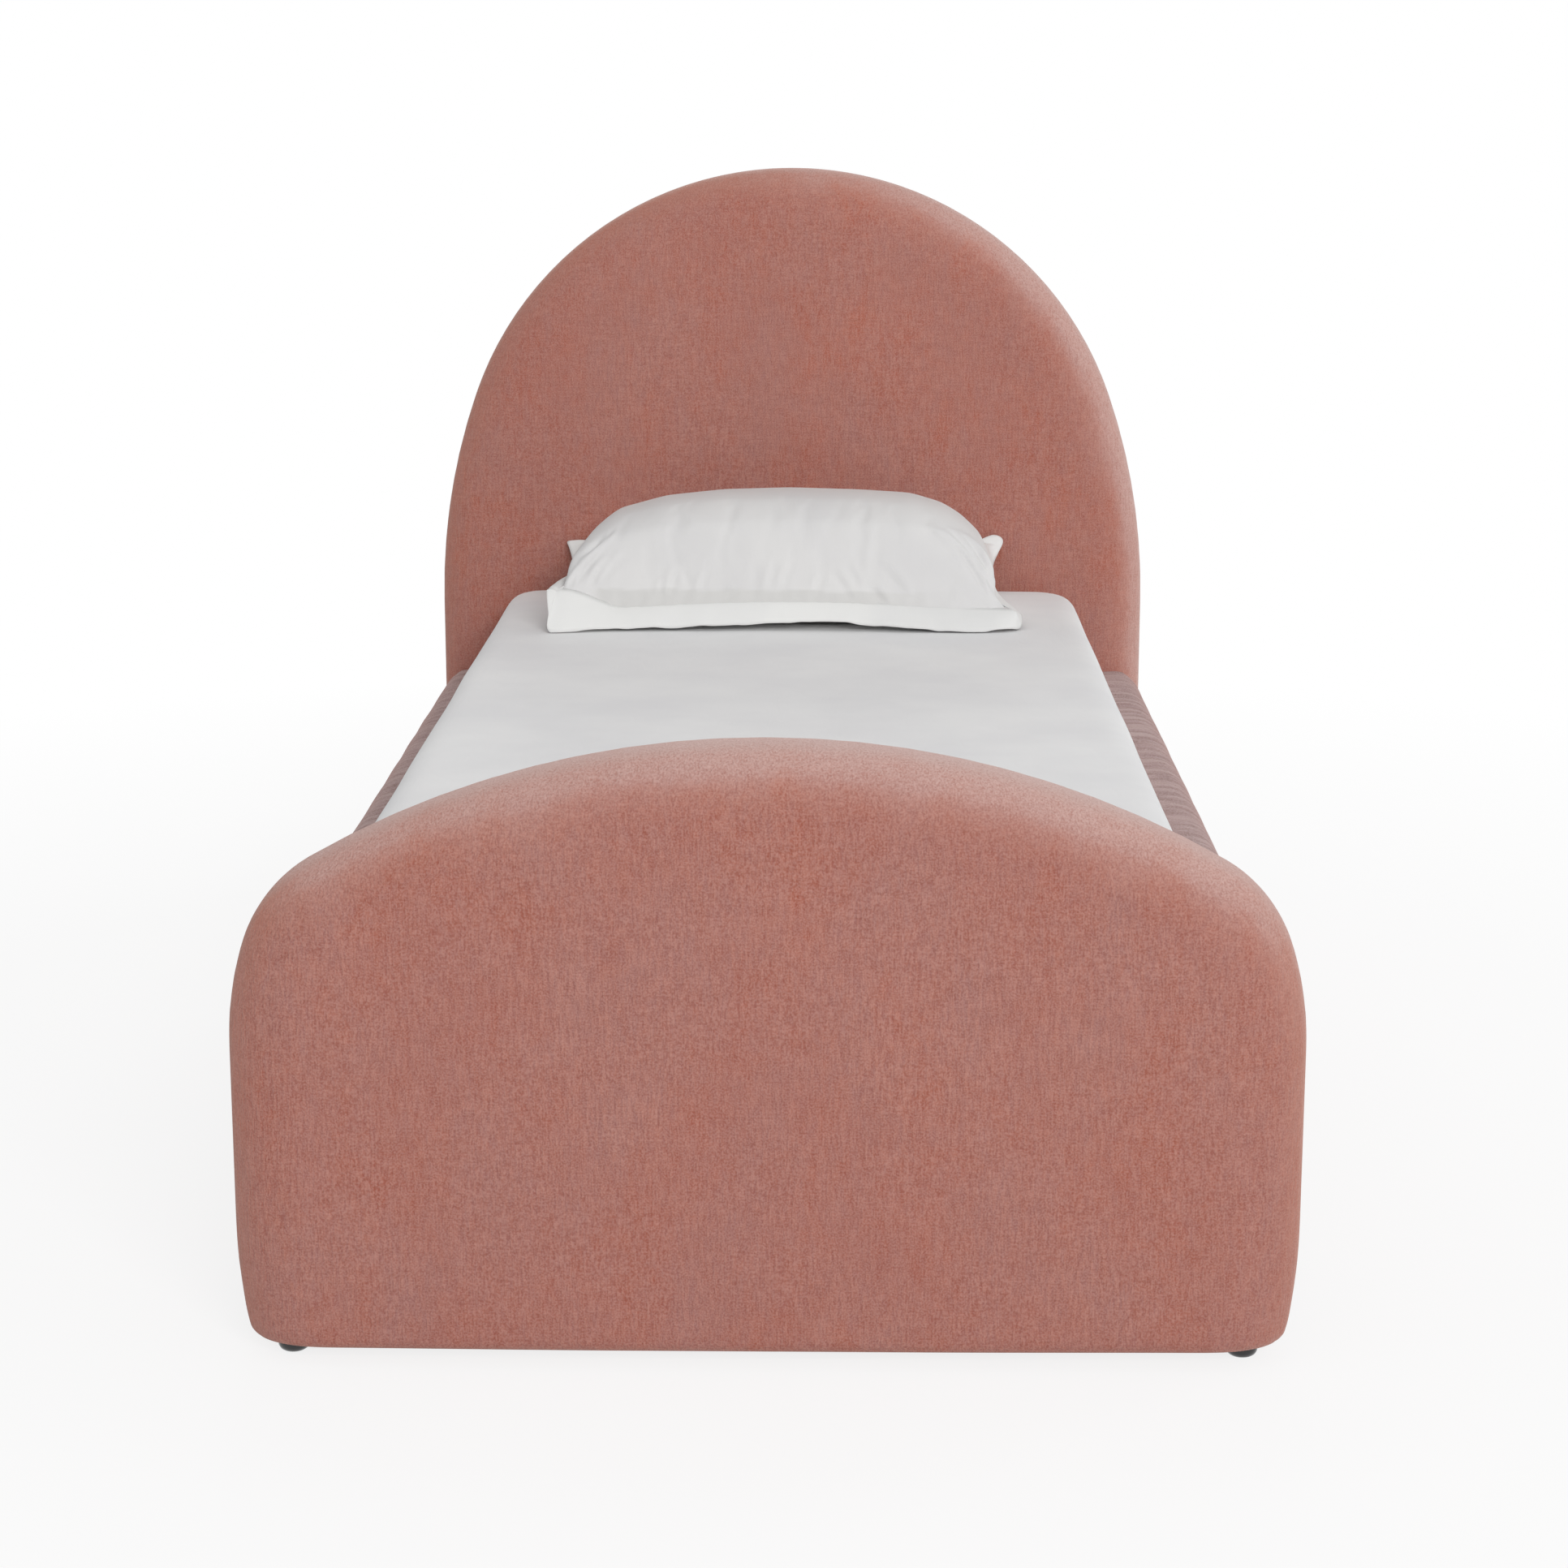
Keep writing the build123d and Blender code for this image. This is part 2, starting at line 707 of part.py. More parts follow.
def leveller_stem():
    """Threaded stem of a levelling foot: a captive foot, a neck, a hexagon to turn it by and
    the threaded shank."""
    foot_top = pad_floor + stem_foot_height
    collar_bottom = pad_height + collar_lift
    collar_top = collar_bottom + collar_height
    stem = Pos(0, 0, pad_floor) * rod(stem_foot_radius, stem_foot_height)
    stem += Pos(0, 0, foot_top) * rod(stem_neck_radius, collar_bottom - foot_top)
    hexagon = RegularPolygon(collar_flats / 2, 6, major_radius=False)
    stem += Pos(0, 0, collar_bottom) * extrude(hexagon, amount=collar_height)
    return stem + Pos(0, 0, collar_top) * rod(stem_radius, stem_reach - collar_top)


def leveller_pad():
    """Swivel pad that holds the stem's foot captive."""
    cavity_low = pad_floor - running_gap
    cavity = Pos(0, 0, cavity_low) * rod(stem_foot_radius + running_gap, stem_foot_height + 2 * running_gap)
    neck_bore = Pos(0, 0, pad_floor) * rod(stem_neck_radius + running_gap, pad_height)
    return rod(pad_radius, pad_height) - cavity - neck_bore


# Corner brackets and fasteners
def corner_bracket():
    """Bent steel angle in the corner between the right rail and the headboard."""
    x1 = rail_inner_x
    y1 = board_face_y
    board_leg = block(x1 - bracket_board_leg, x1, y1 - bracket_plate, y1, bracket_bottom, bracket_top)
    rail_leg = block(x1 - bracket_plate, x1, y1 - bracket_rail_leg, y1, bracket_bottom, bracket_top)
    angle = board_leg + rail_leg
    uprights = angle.edges().filter_by(Axis.Z)
    bend = uprights.sort_by_distance((x1, y1, bracket_middle))[0]
    angle = fillet(bend, bracket_bend_radius)
    bore = prism(bolt_hole_radius, bracket_plate + 2 * overrun)
    for z in bolt_heights:
        angle -= at(board_bolt_x, y1 - bracket_plate - overrun, z, (0, 1, 0)) * bore
        angle -= at(x1 - bracket_plate - overrun, rail_bolt_y, z, (1, 0, 0)) * bore
    return angle


def hex_bolt():
    """A hexagon bolt, its shank along +Z from its bearing face and its head below."""
    hexagon = RegularPolygon(bolt_head_flats / 2, 6, major_radius=False)
    return extrude(hexagon, amount=-bolt_head_height) + prism(bolt_radius, bolt_length)


def threaded_insert():
    """A brass insert for timber, from its mouth along +Z."""
    return prism(insert_radius, insert_length) - prism(bolt_radius + fit_gap, insert_length)


def board_joints(points):
    """The bolt axes on both end boards, each on the padded face and pointing into the board."""
    return [at(x, end * board_face_y, z, (0, end, 0)) for end in (-1, 1) for x, z in points]


def rail_joints():
    """The bolt axes on both rails, each on the padded face and pointing into the rail."""
    return [
        at(side * rail_inner_x, end * rail_bolt_y, z, (side, 0, 0))
        for side in (-1, 1)
        for end in (-1, 1)
        for z in bolt_heights
    ]


def bolts(joints, plate):
    """A bolt on each axis, its head bearing on a steel plate over the padded face."""
    return [joint * Pos(0, 0, -plate) * hex_bolt() for joint in joints]


def inserts(joints):
    """A threaded insert on each axis, its mouth just under the cover."""
    return [joint * Pos(0, 0, velvet_thickness) * threaded_insert() for joint in joints]


# Mattress
def mattress_block(inset, low, high):
    """A block as large as the mattress drawn in by inset, rounded only in plan."""
    half_x = mattress_width / 2 - inset
    half_y = mattress_length / 2 - inset
    form = block(-half_x, half_x, -half_y, half_y, low, high)
    return fillet(form.edges().filter_by(Axis.Z), mattress_corner_radius - inset)


def mattress_cover():
    """Quilted ticking with the fitted sheet drawn over it, which round off the square foam."""
    form = mattress_block(0, mattress_bottom, mattress_top)
    form = fillet(form.faces().sort_by(Axis.Z)[-1].edges(), mattress_top_radius)
    form = chamfer(form.faces().sort_by(Axis.Z)[0].edges(), mattress_bottom_chamfer)
    return form - mattress_block(mattress_wrap, mattress_bottom + mattress_wrap, mattress_top - mattress_wrap)


def mattress_layer(low, high):
    """A layer of foam between two heights."""
    return mattress_block(mattress_wrap + glue_gap, low, high)


# Pillow
def pillow_form(inset, straight=False):
    """Stuffed body of the pillow drawn in by inset: crowned, drawn in along its front, flat
    where it lies, and rising to its back seam against the headboard. Its surface is one curve
    through the sections, or runs straight from each to the next."""
    seat = mattress_top + pillow_seat_gap
    half = pillow_width / 2 - inset
    back = board_face_y - pillow_back_gap - inset
    sections = []
    for along, crown, draw in pillow_section_shares:
        front = pillow_front + draw * pillow_draw_in + inset
        run = back - front

        def seam(share):
            return seat + pillow_front_seam + share * (pillow_back_seam - pillow_front_seam)

        def below(share):
            return seam(share) - (seam(share) - seat) * crown + inset

        def place(share, z):
            return along * half, front + share * run, z

        top = seam(pillow_crown_share) + (seat + pillow_height - seam(pillow_crown_share)) * crown - inset
        seam_front = place(0, seam(0))
        seam_back = place(1, seam(1))
        rest_front = place(pillow_rest_front_share, below(pillow_rest_front_share))
        rest_back = place(pillow_rest_back_share, below(pillow_rest_back_share))
        nose = (Vector(*seam_front) + Vector(*rest_front)) / 2
        nose -= Vector(0, 0, pillow_front_bulge * crown)
        heel = (Vector(*seam_back) + Vector(*rest_back)) / 2
        heel += Vector(0, pillow_back_bulge * crown, -pillow_back_bulge * crown) / math.sqrt(2)
        edges = [
            ThreePointArc(seam_front, place(pillow_crown_share, top), seam_back),
            ThreePointArc(seam_back, heel, rest_back),
            Line(rest_back, rest_front),
            ThreePointArc(rest_front, nose, seam_front),
        ]
        if straight:
            crown_points = [edges[0] @ (side / filling_sides) for side in range(filling_sides + 1)]
            edges = Polyline(*crown_points, rest_back, rest_front, close=True).edges()
        sections.append(Face(Wire(edges)))
    under = block(-half_width, half_width, 0, board_y, mattress_bottom, seat + inset)
    return loft(sections, ruled=straight) - under


def pillow_border_form():
    """Flat sewn border of the pillowcase, in the plane of its seams."""
    seat = mattress_top + pillow_seat_gap
    back = board_face_y - pillow_back_gap
    rise = pillow_back_seam - pillow_front_seam
    tilt = math.degrees(math.atan2(rise, back - pillow_front))
    run = math.hypot(rise, back - pillow_front)
    border = Box(
        pillow_width + 2 * pillow_border,
        run + pillow_border,
        pillow_border_thickness,
        align=(Align.CENTER, Align.MIN, Align.CENTER),
    )
    border = fillet(border.edges().filter_by(Axis.Z), pillow_border_corner)
    seam_place = Pos(0, pillow_front, seat + pillow_front_seam) * Rot(tilt, 0, 0)
    return seam_place * Pos(0, -pillow_border, 0) * border


def pillowcase():
    """Cotton case with its border, open inside for the filling."""
    return pillow_form(0) + pillow_border_form() - pillow_form(pillow_case_cloth, straight=True)


# All nodes
def board_nodes(name, height, arc_shares, place):
    """The nodes of one end board, at its place."""
    nodes = {
        "_inner_panel": panel(height, arc_shares, -1),
        "_outer_panel": panel(height, arc_shares, 1),
        "_posts": posts(height, arc_shares),
        "_cross_rails": cross_rails(height, arc_shares),
        "_arch_rib": arch_rib(height, arc_shares),
        "_mount_blocks": mount_blocks(),
        "_foam": board_foam(height, arc_shares),
        "_cover": board_cover(height, arc_shares),
    }
    return {name + ending: placed(place, pieces) for ending, pieces in nodes.items()}


def rail_nodes():
    """The nodes of both side rails and their slat ledges."""
    right = {
        "_rail_panels": rail_panels(),
        "_rail_studs": rail_studs(),
        "_rail_foam": rail_foam(),
        "_rail_cover": rail_cover(),
        "_slat_ledge": slat_ledge(),
    }
    nodes = {"right" + ending: pieces for ending, pieces in right.items()}
    nodes.update({"left" + ending: other_side(pieces) for ending, pieces in right.items()})
    return nodes


def glide_nodes():
    """The corner glides, their pins and the dust cloths under boards and rails."""
    glides, pins = board_glides()
    cloths = both_sides(rail_dust_cloth())
    nodes = {"corner_glides": [], "glide_pins": [], "dust_cloths": cloths}
    for place in (on_headboard, on_footboard):
        nodes["corner_glides"] += placed(place, glides)
        nodes["glide_pins"] += placed(place, pins)
        nodes["dust_cloths"].append(place * board_dust_cloth())
    return nodes


def base_nodes():
    """The slatted base, its beam, legs and levelling feet."""
    ledge_screws = [place * screw_form(ledge_screw_length) for place in ledge_screw_places()]
    nodes = {
        "slats": slats(),
        "slat_webbing": slat_webbing(),
        "slat_screws": slat_screws(),
        "ledge_screws": ledge_screws + other_side(ledge_screws),
        "centre_beam": [beam()],
        "beam_cradles": both_ends(beam_cradle()),
        "support_legs": both_ends(support_leg()),
        "leg_screws": [place * screw_form(leg_screw_length) for place in leg_screw_places],
        "leg_plugs": both_ends(leg_plug()),
    }
    for name, end in (("rear", 1), ("front", -1)):
        nodes[name + "_leveller_pad"] = [Pos(0, end * leg_y, 0) * leveller_pad()]
        nodes[name + "_leveller_stem"] = [Pos(0, end * leg_y, 0) * leveller_stem()]
    return nodes


def hardware_nodes():
    """The corner brackets, and the bolts and inserts of every bolted joint."""
    bracket_joints = board_joints(bracket_bolt_points) + rail_joints()
    cradle_joints = board_joints(cradle_bolt_points)
    return {
        "corner_brackets": [piece for end in both_ends(corner_bracket()) for piece in both_sides(end)],
        "frame_bolts": bolts(bracket_joints, bracket_plate) + bolts(cradle_joints, cradle_plate),
        "threaded_inserts": inserts(bracket_joints + cradle_joints),
    }


def bedding_nodes():
    """The mattress in its fitted sheet, and the pillow."""
    top = mattress_top - mattress_wrap - glue_gap
    return {
        "mattress_base_foam": [mattress_layer(mattress_bottom + mattress_wrap, top - comfort_layer)],
        "mattress_comfort_foam": [mattress_layer(top - comfort_layer, top)],
        "mattress_cover": [mattress_cover()],
        "pillow_fill": [pillow_form(pillow_case_cloth + pillow_fill_gap, straight=True)],
        "pillowcase": [pillowcase()],
    }


all_nodes = board_nodes("headboard", headboard_height, headboard_arc_shares, on_headboard)
all_nodes.update(board_nodes("footboard", footboard_height, footboard_arc_shares, on_footboard))
for some_nodes in (rail_nodes(), glide_nodes(), base_nodes(), hardware_nodes(), bedding_nodes()):
    all_nodes.update(some_nodes)

os.makedirs("parts", exist_ok=True)
for node_name, pieces in all_nodes.items():
    solids = [solid for piece in pieces for solid in piece.solids()]
    export_step(Compound(children=solids), "parts/" + node_name + ".step")
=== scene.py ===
import math

import bmesh
import bpy
import numpy as np
from mathutils import Matrix, Vector


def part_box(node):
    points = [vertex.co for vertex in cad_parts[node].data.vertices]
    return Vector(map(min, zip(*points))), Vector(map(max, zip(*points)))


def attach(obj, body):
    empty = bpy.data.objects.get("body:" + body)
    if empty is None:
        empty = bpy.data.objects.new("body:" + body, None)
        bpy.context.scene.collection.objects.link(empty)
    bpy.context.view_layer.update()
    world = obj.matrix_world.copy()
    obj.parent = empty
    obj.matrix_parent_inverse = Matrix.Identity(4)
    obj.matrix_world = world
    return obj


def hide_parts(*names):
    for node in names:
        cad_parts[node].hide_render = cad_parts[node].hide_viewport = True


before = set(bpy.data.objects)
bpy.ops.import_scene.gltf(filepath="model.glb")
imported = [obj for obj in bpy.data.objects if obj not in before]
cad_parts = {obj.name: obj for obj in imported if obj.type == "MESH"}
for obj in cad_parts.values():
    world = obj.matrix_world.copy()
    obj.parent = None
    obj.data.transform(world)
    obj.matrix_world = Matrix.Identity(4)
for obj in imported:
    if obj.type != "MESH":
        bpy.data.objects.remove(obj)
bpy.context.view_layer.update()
bpy.ops.object.select_all(action="DESELECT")

MM = 0.001
EPS = 0.5 * MM

# Outline of the end boards, as in the source: arc radius as a share of the half width, and the
# angle from straight up at which the arc ends
head_arcs = ((0.9536, 70),)
foot_arcs = ((1.6915, 30), (0.2736, 72))
tuck_radius = 720 * MM
tuck_top = 160 * MM
rim_radius = 62 * MM
base_radius = 16 * MM
half_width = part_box("headboard_cover")[1].x

# How far in from the rim a board's padding falls away, and how round that fall is
pad_reach = 105 * MM
pad_power = 2.4

# Squares that padded pieces are rebuilt with
board_squares = 7 * MM
rail_squares = 6 * MM
mattress_squares = 10 * MM


# Selecting and shaping
def begin(piece):
    """Opens a piece for editing, with nothing else selected."""
    bpy.ops.object.select_all(action="DESELECT")
    bpy.context.view_layer.objects.active = piece
    piece.select_set(True)
    bpy.ops.object.mode_set(mode="EDIT")
    bpy.ops.mesh.select_mode(type="VERT")


def end():
    """Leaves edit mode."""
    bpy.ops.object.mode_set(mode="OBJECT")


def pick_edges(piece, wanted):
    """Selects the edges whose two ends pass a test of their places."""
    bpy.ops.mesh.select_mode(type="EDGE")
    bpy.ops.mesh.select_all(action="DESELECT")
    mesh = bmesh.from_edit_mesh(piece.data)
    for edge in mesh.edges:
        edge.select_set(wanted(edge.verts[0].co, edge.verts[1].co))
    bmesh.update_edit_mesh(piece.data)


def pick_faces(piece, wanted):
    """Selects the faces whose middle and normal pass a test."""
    bpy.ops.mesh.select_mode(type="FACE")
    bpy.ops.mesh.select_all(action="DESELECT")
    mesh = bmesh.from_edit_mesh(piece.data)
    for face in mesh.faces:
        face.select_set(wanted(face.calc_center_median(), face.normal))
    bmesh.update_edit_mesh(piece.data)


def settle(piece):
    """Puts a primitive's size and place into its mesh."""
    bpy.ops.object.select_all(action="DESELECT")
    bpy.context.view_layer.objects.active = piece
    piece.select_set(True)
    bpy.ops.object.transform_apply(location=True, rotation=True, scale=True)


def cube(name, low, high):
    """A block between two corners, ready to be shaped."""
    bpy.ops.object.select_all(action="DESELECT")
    middle = (Vector(low) + Vector(high)) / 2
    bpy.ops.mesh.primitive_cube_add(size=1, location=middle)
    piece = bpy.context.object
    piece.name = name
    piece.scale = Vector(high) - Vector(low)
    settle(piece)
    return piece


def point_at(name, place):
    """A single point, from which an outline is drawn."""
    bpy.ops.object.select_all(action="DESELECT")
    bpy.ops.mesh.primitive_plane_add(size=0.01, location=place)
    piece = bpy.context.object
    piece.name = name
    settle(piece)
    begin(piece)
    bpy.ops.mesh.select_all(action="SELECT")
    bpy.ops.mesh.merge(type="CENTER")
    return piece


def apply(piece, kind, **settings):
    """Adds a modifier with its settings and applies it."""
    bpy.ops.object.select_all(action="DESELECT")
    bpy.context.view_layer.objects.active = piece
    piece.select_set(True)
    bpy.ops.object.modifier_add(type=kind)
    modifier = piece.modifiers[-1]
    for name, value in settings.items():
        setattr(modifier, name, value)
    bpy.ops.object.modifier_apply(modifier=modifier.name)


def remesh(piece, size):
    """Rebuilds a piece as even squares of one size, and softens the steps."""
    bpy.ops.object.select_all(action="DESELECT")
    bpy.context.view_layer.objects.active = piece
    piece.select_set(True)
    piece.data.remesh_voxel_size = size
    bpy.ops.object.voxel_remesh()
    apply(piece, "SMOOTH", factor=0.5, iterations=6)


def piece_of(name, places, faces):
    """A new piece from its points and faces."""
    mesh = bpy.data.meshes.new(name)
    mesh.from_pydata(places.tolist(), [], faces)
    piece = bpy.data.objects.new(name, mesh)
    bpy.context.scene.collection.objects.link(piece)
    return piece


def close_up(distance):
    """Joins the points of the open piece that lie within a distance, and turns its faces out."""
    bpy.ops.mesh.select_all(action="SELECT")
    bpy.ops.mesh.remove_doubles(threshold=distance)
    bpy.ops.mesh.normals_make_consistent(inside=False)


def smooth(piece):
    """Shades a piece as one smooth surface."""
    piece.data.shade_smooth()


def points_of(piece):
    """The places of a piece's points."""
    places = np.empty(len(piece.data.vertices) * 3)
    piece.data.vertices.foreach_get("co", places)
    return places.reshape(-1, 3)


def move_points(piece, places):
    """Gives a piece's points new places."""
    piece.data.vertices.foreach_set("co", places.astype(np.float32).ravel())
    piece.data.update()


def normals_of(piece):
    """The outward direction at each point of a piece."""
    normals = np.empty(len(piece.data.vertices) * 3, np.float32)
    piece.data.vertex_normals.foreach_get("vector", normals)
    return normals.reshape(-1, 3).astype(float)


def ease(value, low, high):
    """A smooth step from 0 at low to 1 at high."""
    share = np.clip((value - low) / (high - low), 0, 1)
    return share * share * (3 - 2 * share)


def ripples(places, length, seed):
    """Soft irregular waves of about one length, between -1 and 1."""
    chance = np.random.default_rng(seed)
    total = np.zeros(len(places))
    for _ in range(7):
        direction = chance.normal(size=3)
        direction *= 2 * math.pi / (length * chance.uniform(0.7, 1.5)) / np.linalg.norm(direction)
        total += np.sin(places @ direction + chance.uniform(0, 2 * math.pi))
    return total / 3.5


# Materials
def linear(code):
    """The linear colour of an sRGB hex value."""
    channels = [int(code[i:i + 2], 16) / 255 for i in (1, 3, 5)]
    return [c / 12.92 if c <= 0.04045 else ((c + 0.055) / 1.055) ** 2.4 for c in channels] + [1]


def material(name, colour, roughness, **values):
    """A new material, with its colour, its roughness and other values on its own shader."""
    made = bpy.data.materials.new(name)
    made.use_nodes = True
    shader = made.node_tree.nodes["Principled BSDF"]
    shader.inputs["Base Color"].default_value = linear(colour)
    shader.inputs["Roughness"].default_value = roughness
    for socket, value in values.items():
        shader.inputs[socket.replace("_", " ")].default_value = value
    return made, made.node_tree, shader


def add(tree, kind, sockets=None, **settings):
    """Adds a node with its settings; a socket takes a value or another node's output."""
    node = tree.nodes.new("ShaderNode" + kind)
    for name, value in settings.items():
        setattr(node, name, value)
    for name, value in (sockets or {}).items():
        if isinstance(value, bpy.types.NodeSocket):
            tree.links.new(value, node.inputs[name])
        else:
            node.inputs[name].default_value = value
    return node


def pattern(tree, scale, detail=3, roughness=0.55, distortion=0):
    """Noise on the piece's own places, with a scale for each direction in features a metre."""
    place = add(tree, "TexCoord").outputs["Object"]
    mapped = add(tree, "Mapping", {"Vector": place, "Scale": scale})
    return add(tree, "TexNoise", {
        "Vector": mapped.outputs[0], "Scale": 1, "Detail": detail, "Roughness": roughness,
        "Distortion": distortion,
    }).outputs["Fac"]


def contrast(tree, value, low, high, to_low=0, to_high=1):
    """Stretches a pattern between two limits."""
    return add(tree, "MapRange", {
        0: value, "From Min": low, "From Max": high, "To Min": to_low, "To Max": to_high,
    }).outputs[0]


def blend(tree, share, first, second):
    """Blends two colours by a share."""
    return add(tree, "Mix", {0: share, 6: first, 7: second}, data_type="RGBA").outputs[2]


def bump(tree, shader, height, depth, strength=1, below=None):
    """Raises a surface by a pattern."""
    node = add(tree, "Bump", {"Height": height, "Distance": depth, "Strength": strength})
    if below:
        tree.links.new(below, node.inputs["Normal"])
    tree.links.new(node.outputs[0], shader.inputs["Normal"])
    return node.outputs[0]


def velvet(name, warp, weft, strand, front, lean, body, sheen_shades, strength):
    """Woven cotton velvet: short pile over slubbed yarn. It mottles between two body shades and
    shows faint lines of thread. Painted sheen and shade: it moves towards its first sheen shade
    where it turns from its front, and is painted pale and greyish, as strongly as given, where it
    faces the lean direction, the side its painted sheen is lit from."""
    made, tree, shader = material(
        name, "#A06A61", 0.9, Sheen_Weight=0.32, Sheen_Roughness=0.4,
        Sheen_Tint=linear("#F0E4E1"), Specular_IOR_Level=0.2,
    )
    # Yarns are 0.4 mm apart, drawn up to 4 mm wide so that they show
    slub = contrast(tree, pattern(tree, warp), 0.37, 0.63)
    cross = contrast(tree, pattern(tree, weft), 0.37, 0.63)
    lilac = contrast(tree, pattern(tree, strand), 0.36, 0.64)
    mottle = contrast(tree, pattern(tree, (13, 13, 6), detail=4), 0.32, 0.68)
    cloud = contrast(tree, pattern(tree, (6, 6, 4.5)), 0.3, 0.7)
    speck = contrast(tree, pattern(tree, (460, 460, 460), detail=2), 0.38, 0.62)
    base = blend(tree, mottle, linear(body[0]), linear(body[1]))
    for layer, share, shade in (
        (lilac, 0.32, "#9C7776"), (slub, 0.56, "#B98172"), (cross, 0.24, "#7F4438"),
        (cloud, 0.3, "#955B52"), (speck, 0.27, "#CFA59B"),
    ):
        base = blend(tree, contrast(tree, layer, 0, 1, 0, share), base, linear(shade))
    normal = add(tree, "TexCoord").outputs["Normal"]
    facing = add(tree, "VectorMath", {0: normal, 1: lean}, operation="DOT_PRODUCT").outputs["Value"]
    flat = add(tree, "VectorMath", {0: normal, 1: front}, operation="DOT_PRODUCT").outputs["Value"]
    flat = add(tree, "Math", {0: flat}, operation="ABSOLUTE").outputs[0]
    # Painted sheen and shade: halfway to the first sheen shade where the surface turns from its
    # front
    base = blend(tree, contrast(tree, flat, 0.95, 0.3, 0, 0.5), base, linear(sheen_shades[0]))
    # Painted sheen: pale and greyish where the surface faces the lean direction, the side its sheen
    # is lit from
    ragged = contrast(tree, mottle, 0, 1, -0.05, 0.05)
    facing = add(tree, "Math", {0: facing, 1: ragged}, operation="ADD").outputs[0]
    painted_sheen = contrast(tree, facing, 0.12, 1.05, 0, strength)
    sheen_colour = blend(tree, contrast(tree, speck, 0, 1, 0, 0.6), linear(sheen_shades[1]), linear(sheen_shades[2]))
    sheen_colour = blend(tree, contrast(tree, slub, 0, 1, 0, 0.5), sheen_colour, linear(sheen_shades[2]))
    sheen_colour = blend(tree, contrast(tree, painted_sheen, 0.05, 0.35), linear(sheen_shades[0]), sheen_colour)
    base = blend(tree, painted_sheen, base, sheen_colour)
    tree.links.new(base, shader.inputs["Base Color"])
    weave = bump(tree, shader, speck, 0.5 * MM, 0.5)
    bump(tree, shader, slub, 0.9 * MM, 0.5, weave)
    return made


def cotton(name, colour, shade, sheen, seam_shade=None):
    """Plain woven cotton, washed and ironed: matt, with a fine even weave and faint creases,
    and painted shade, a darker colour, along a marked band where one is given."""
    made, tree, shader = material(
        name, colour, 0.72, Sheen_Weight=sheen, Sheen_Roughness=0.5, Specular_IOR_Level=0.3,
    )
    weave = pattern(tree, (900, 900, 900), detail=2)
    cloud = contrast(tree, pattern(tree, (5, 5, 5), detail=3), 0.35, 0.65)
    base = blend(tree, cloud, linear(colour), linear(shade))
    # Painted shade: darker along the marked band over the front seam
    if seam_shade:
        under = add(tree, "Attribute", attribute_name="seam_shade").outputs["Fac"]
        base = blend(tree, under, base, linear(seam_shade))
    tree.links.new(base, shader.inputs["Base Color"])
    creased = bump(tree, shader, pattern(tree, (26, 9, 26), detail=4, distortion=0.6), 2 * MM, 0.5)
    bump(tree, shader, weave, 0.15 * MM, 0.6, creased)
    return made


def wood(name, light, dark, grain, roughness):
    """Sawn or planed timber, its grain drawn out along one direction."""
    made, tree, shader = material(name, light, roughness, Specular_IOR_Level=0.35)
    rings = pattern(tree, grain, detail=5, roughness=0.65, distortion=0.8)
    pores = pattern(tree, tuple(4 * g for g in grain), detail=3)
    base = blend(tree, contrast(tree, rings, 0.35, 0.68), linear(light), linear(dark))
    base = blend(tree, contrast(tree, pores, 0.5, 0.8, 0, 0.35), base, linear(dark))
    tree.links.new(base, shader.inputs["Base Color"])
    bump(tree, shader, rings, 0.2 * MM, 0.5)
    return made


def coated(name, colour, roughness, scale, depth, **values):
    """A moulded, cast or coated surface with a fine even texture."""
    made, tree, shader = material(name, colour, roughness, **values)
    grain = pattern(tree, (scale,) * 3, detail=3)
    wear = contrast(tree, pattern(tree, (14, 14, 14), detail=4), 0.3, 0.75, 0.85, 1.1)
    rough = add(tree, "Math", {0: wear, 1: roughness}, operation="MULTIPLY").outputs[0]
    tree.links.new(rough, shader.inputs["Roughness"])
    bump(tree, shader, grain, depth, 0.5)
    return made


# Two shades that the body of the velvet mottles between, and its painted sheen shades: the shade
# painted where it turns from its front, then the two of its painted pale sheen
head_body = ("#A85B47", "#A0685E")
# The footboard and rails take a darker copy of the headboard's velvet: painted shade
darker_body_copy = ("#9C5543", "#96625A")
board_sheen_shades = ("#C58A76", "#BF9A92", "#E0CAC5")
rail_sheen_shades = ("#7F5C56", "#74504A", "#CFB9B8")
# Each velvet's lean is the direction its painted sheen is lit from, and strength how strongly the
# sheen is painted
velvet_headboard = velvet(
    "cotton_velvet_headboard", warp=(320, 320, 46), weft=(36, 36, 340), strand=(76, 76, 32),
    front=(0, 1, 0), lean=(0.8, 0, 0.6), body=head_body, sheen_shades=board_sheen_shades, strength=0.78,
)
velvet_footboard = velvet(
    "cotton_velvet_footboard", warp=(390, 390, 54), weft=(44, 44, 420), strand=(90, 90, 38),
    front=(0, 1, 0), lean=(0.26, 0, 0.966), body=darker_body_copy, sheen_shades=board_sheen_shades, strength=0.8,
)
velvet_rail = velvet(
    "cotton_velvet_rail", warp=(12, 52, 12), weft=(290, 40, 290), strand=(6, 16, 6),
    front=(1, 0, 0), lean=(0.15, 0, 0.99), body=darker_body_copy, sheen_shades=rail_sheen_shades, strength=0.85,
)
sheet_cotton = cotton("cotton_percale_sheet", "#E9E9E9", "#E2E2E3", 0.05)
# The pillowcase's third colour is painted shade over its front seam
case_cotton = cotton("cotton_percale_pillowcase", "#DBDAD9", "#D5D4D4", 0.05, "#D0CFCD")
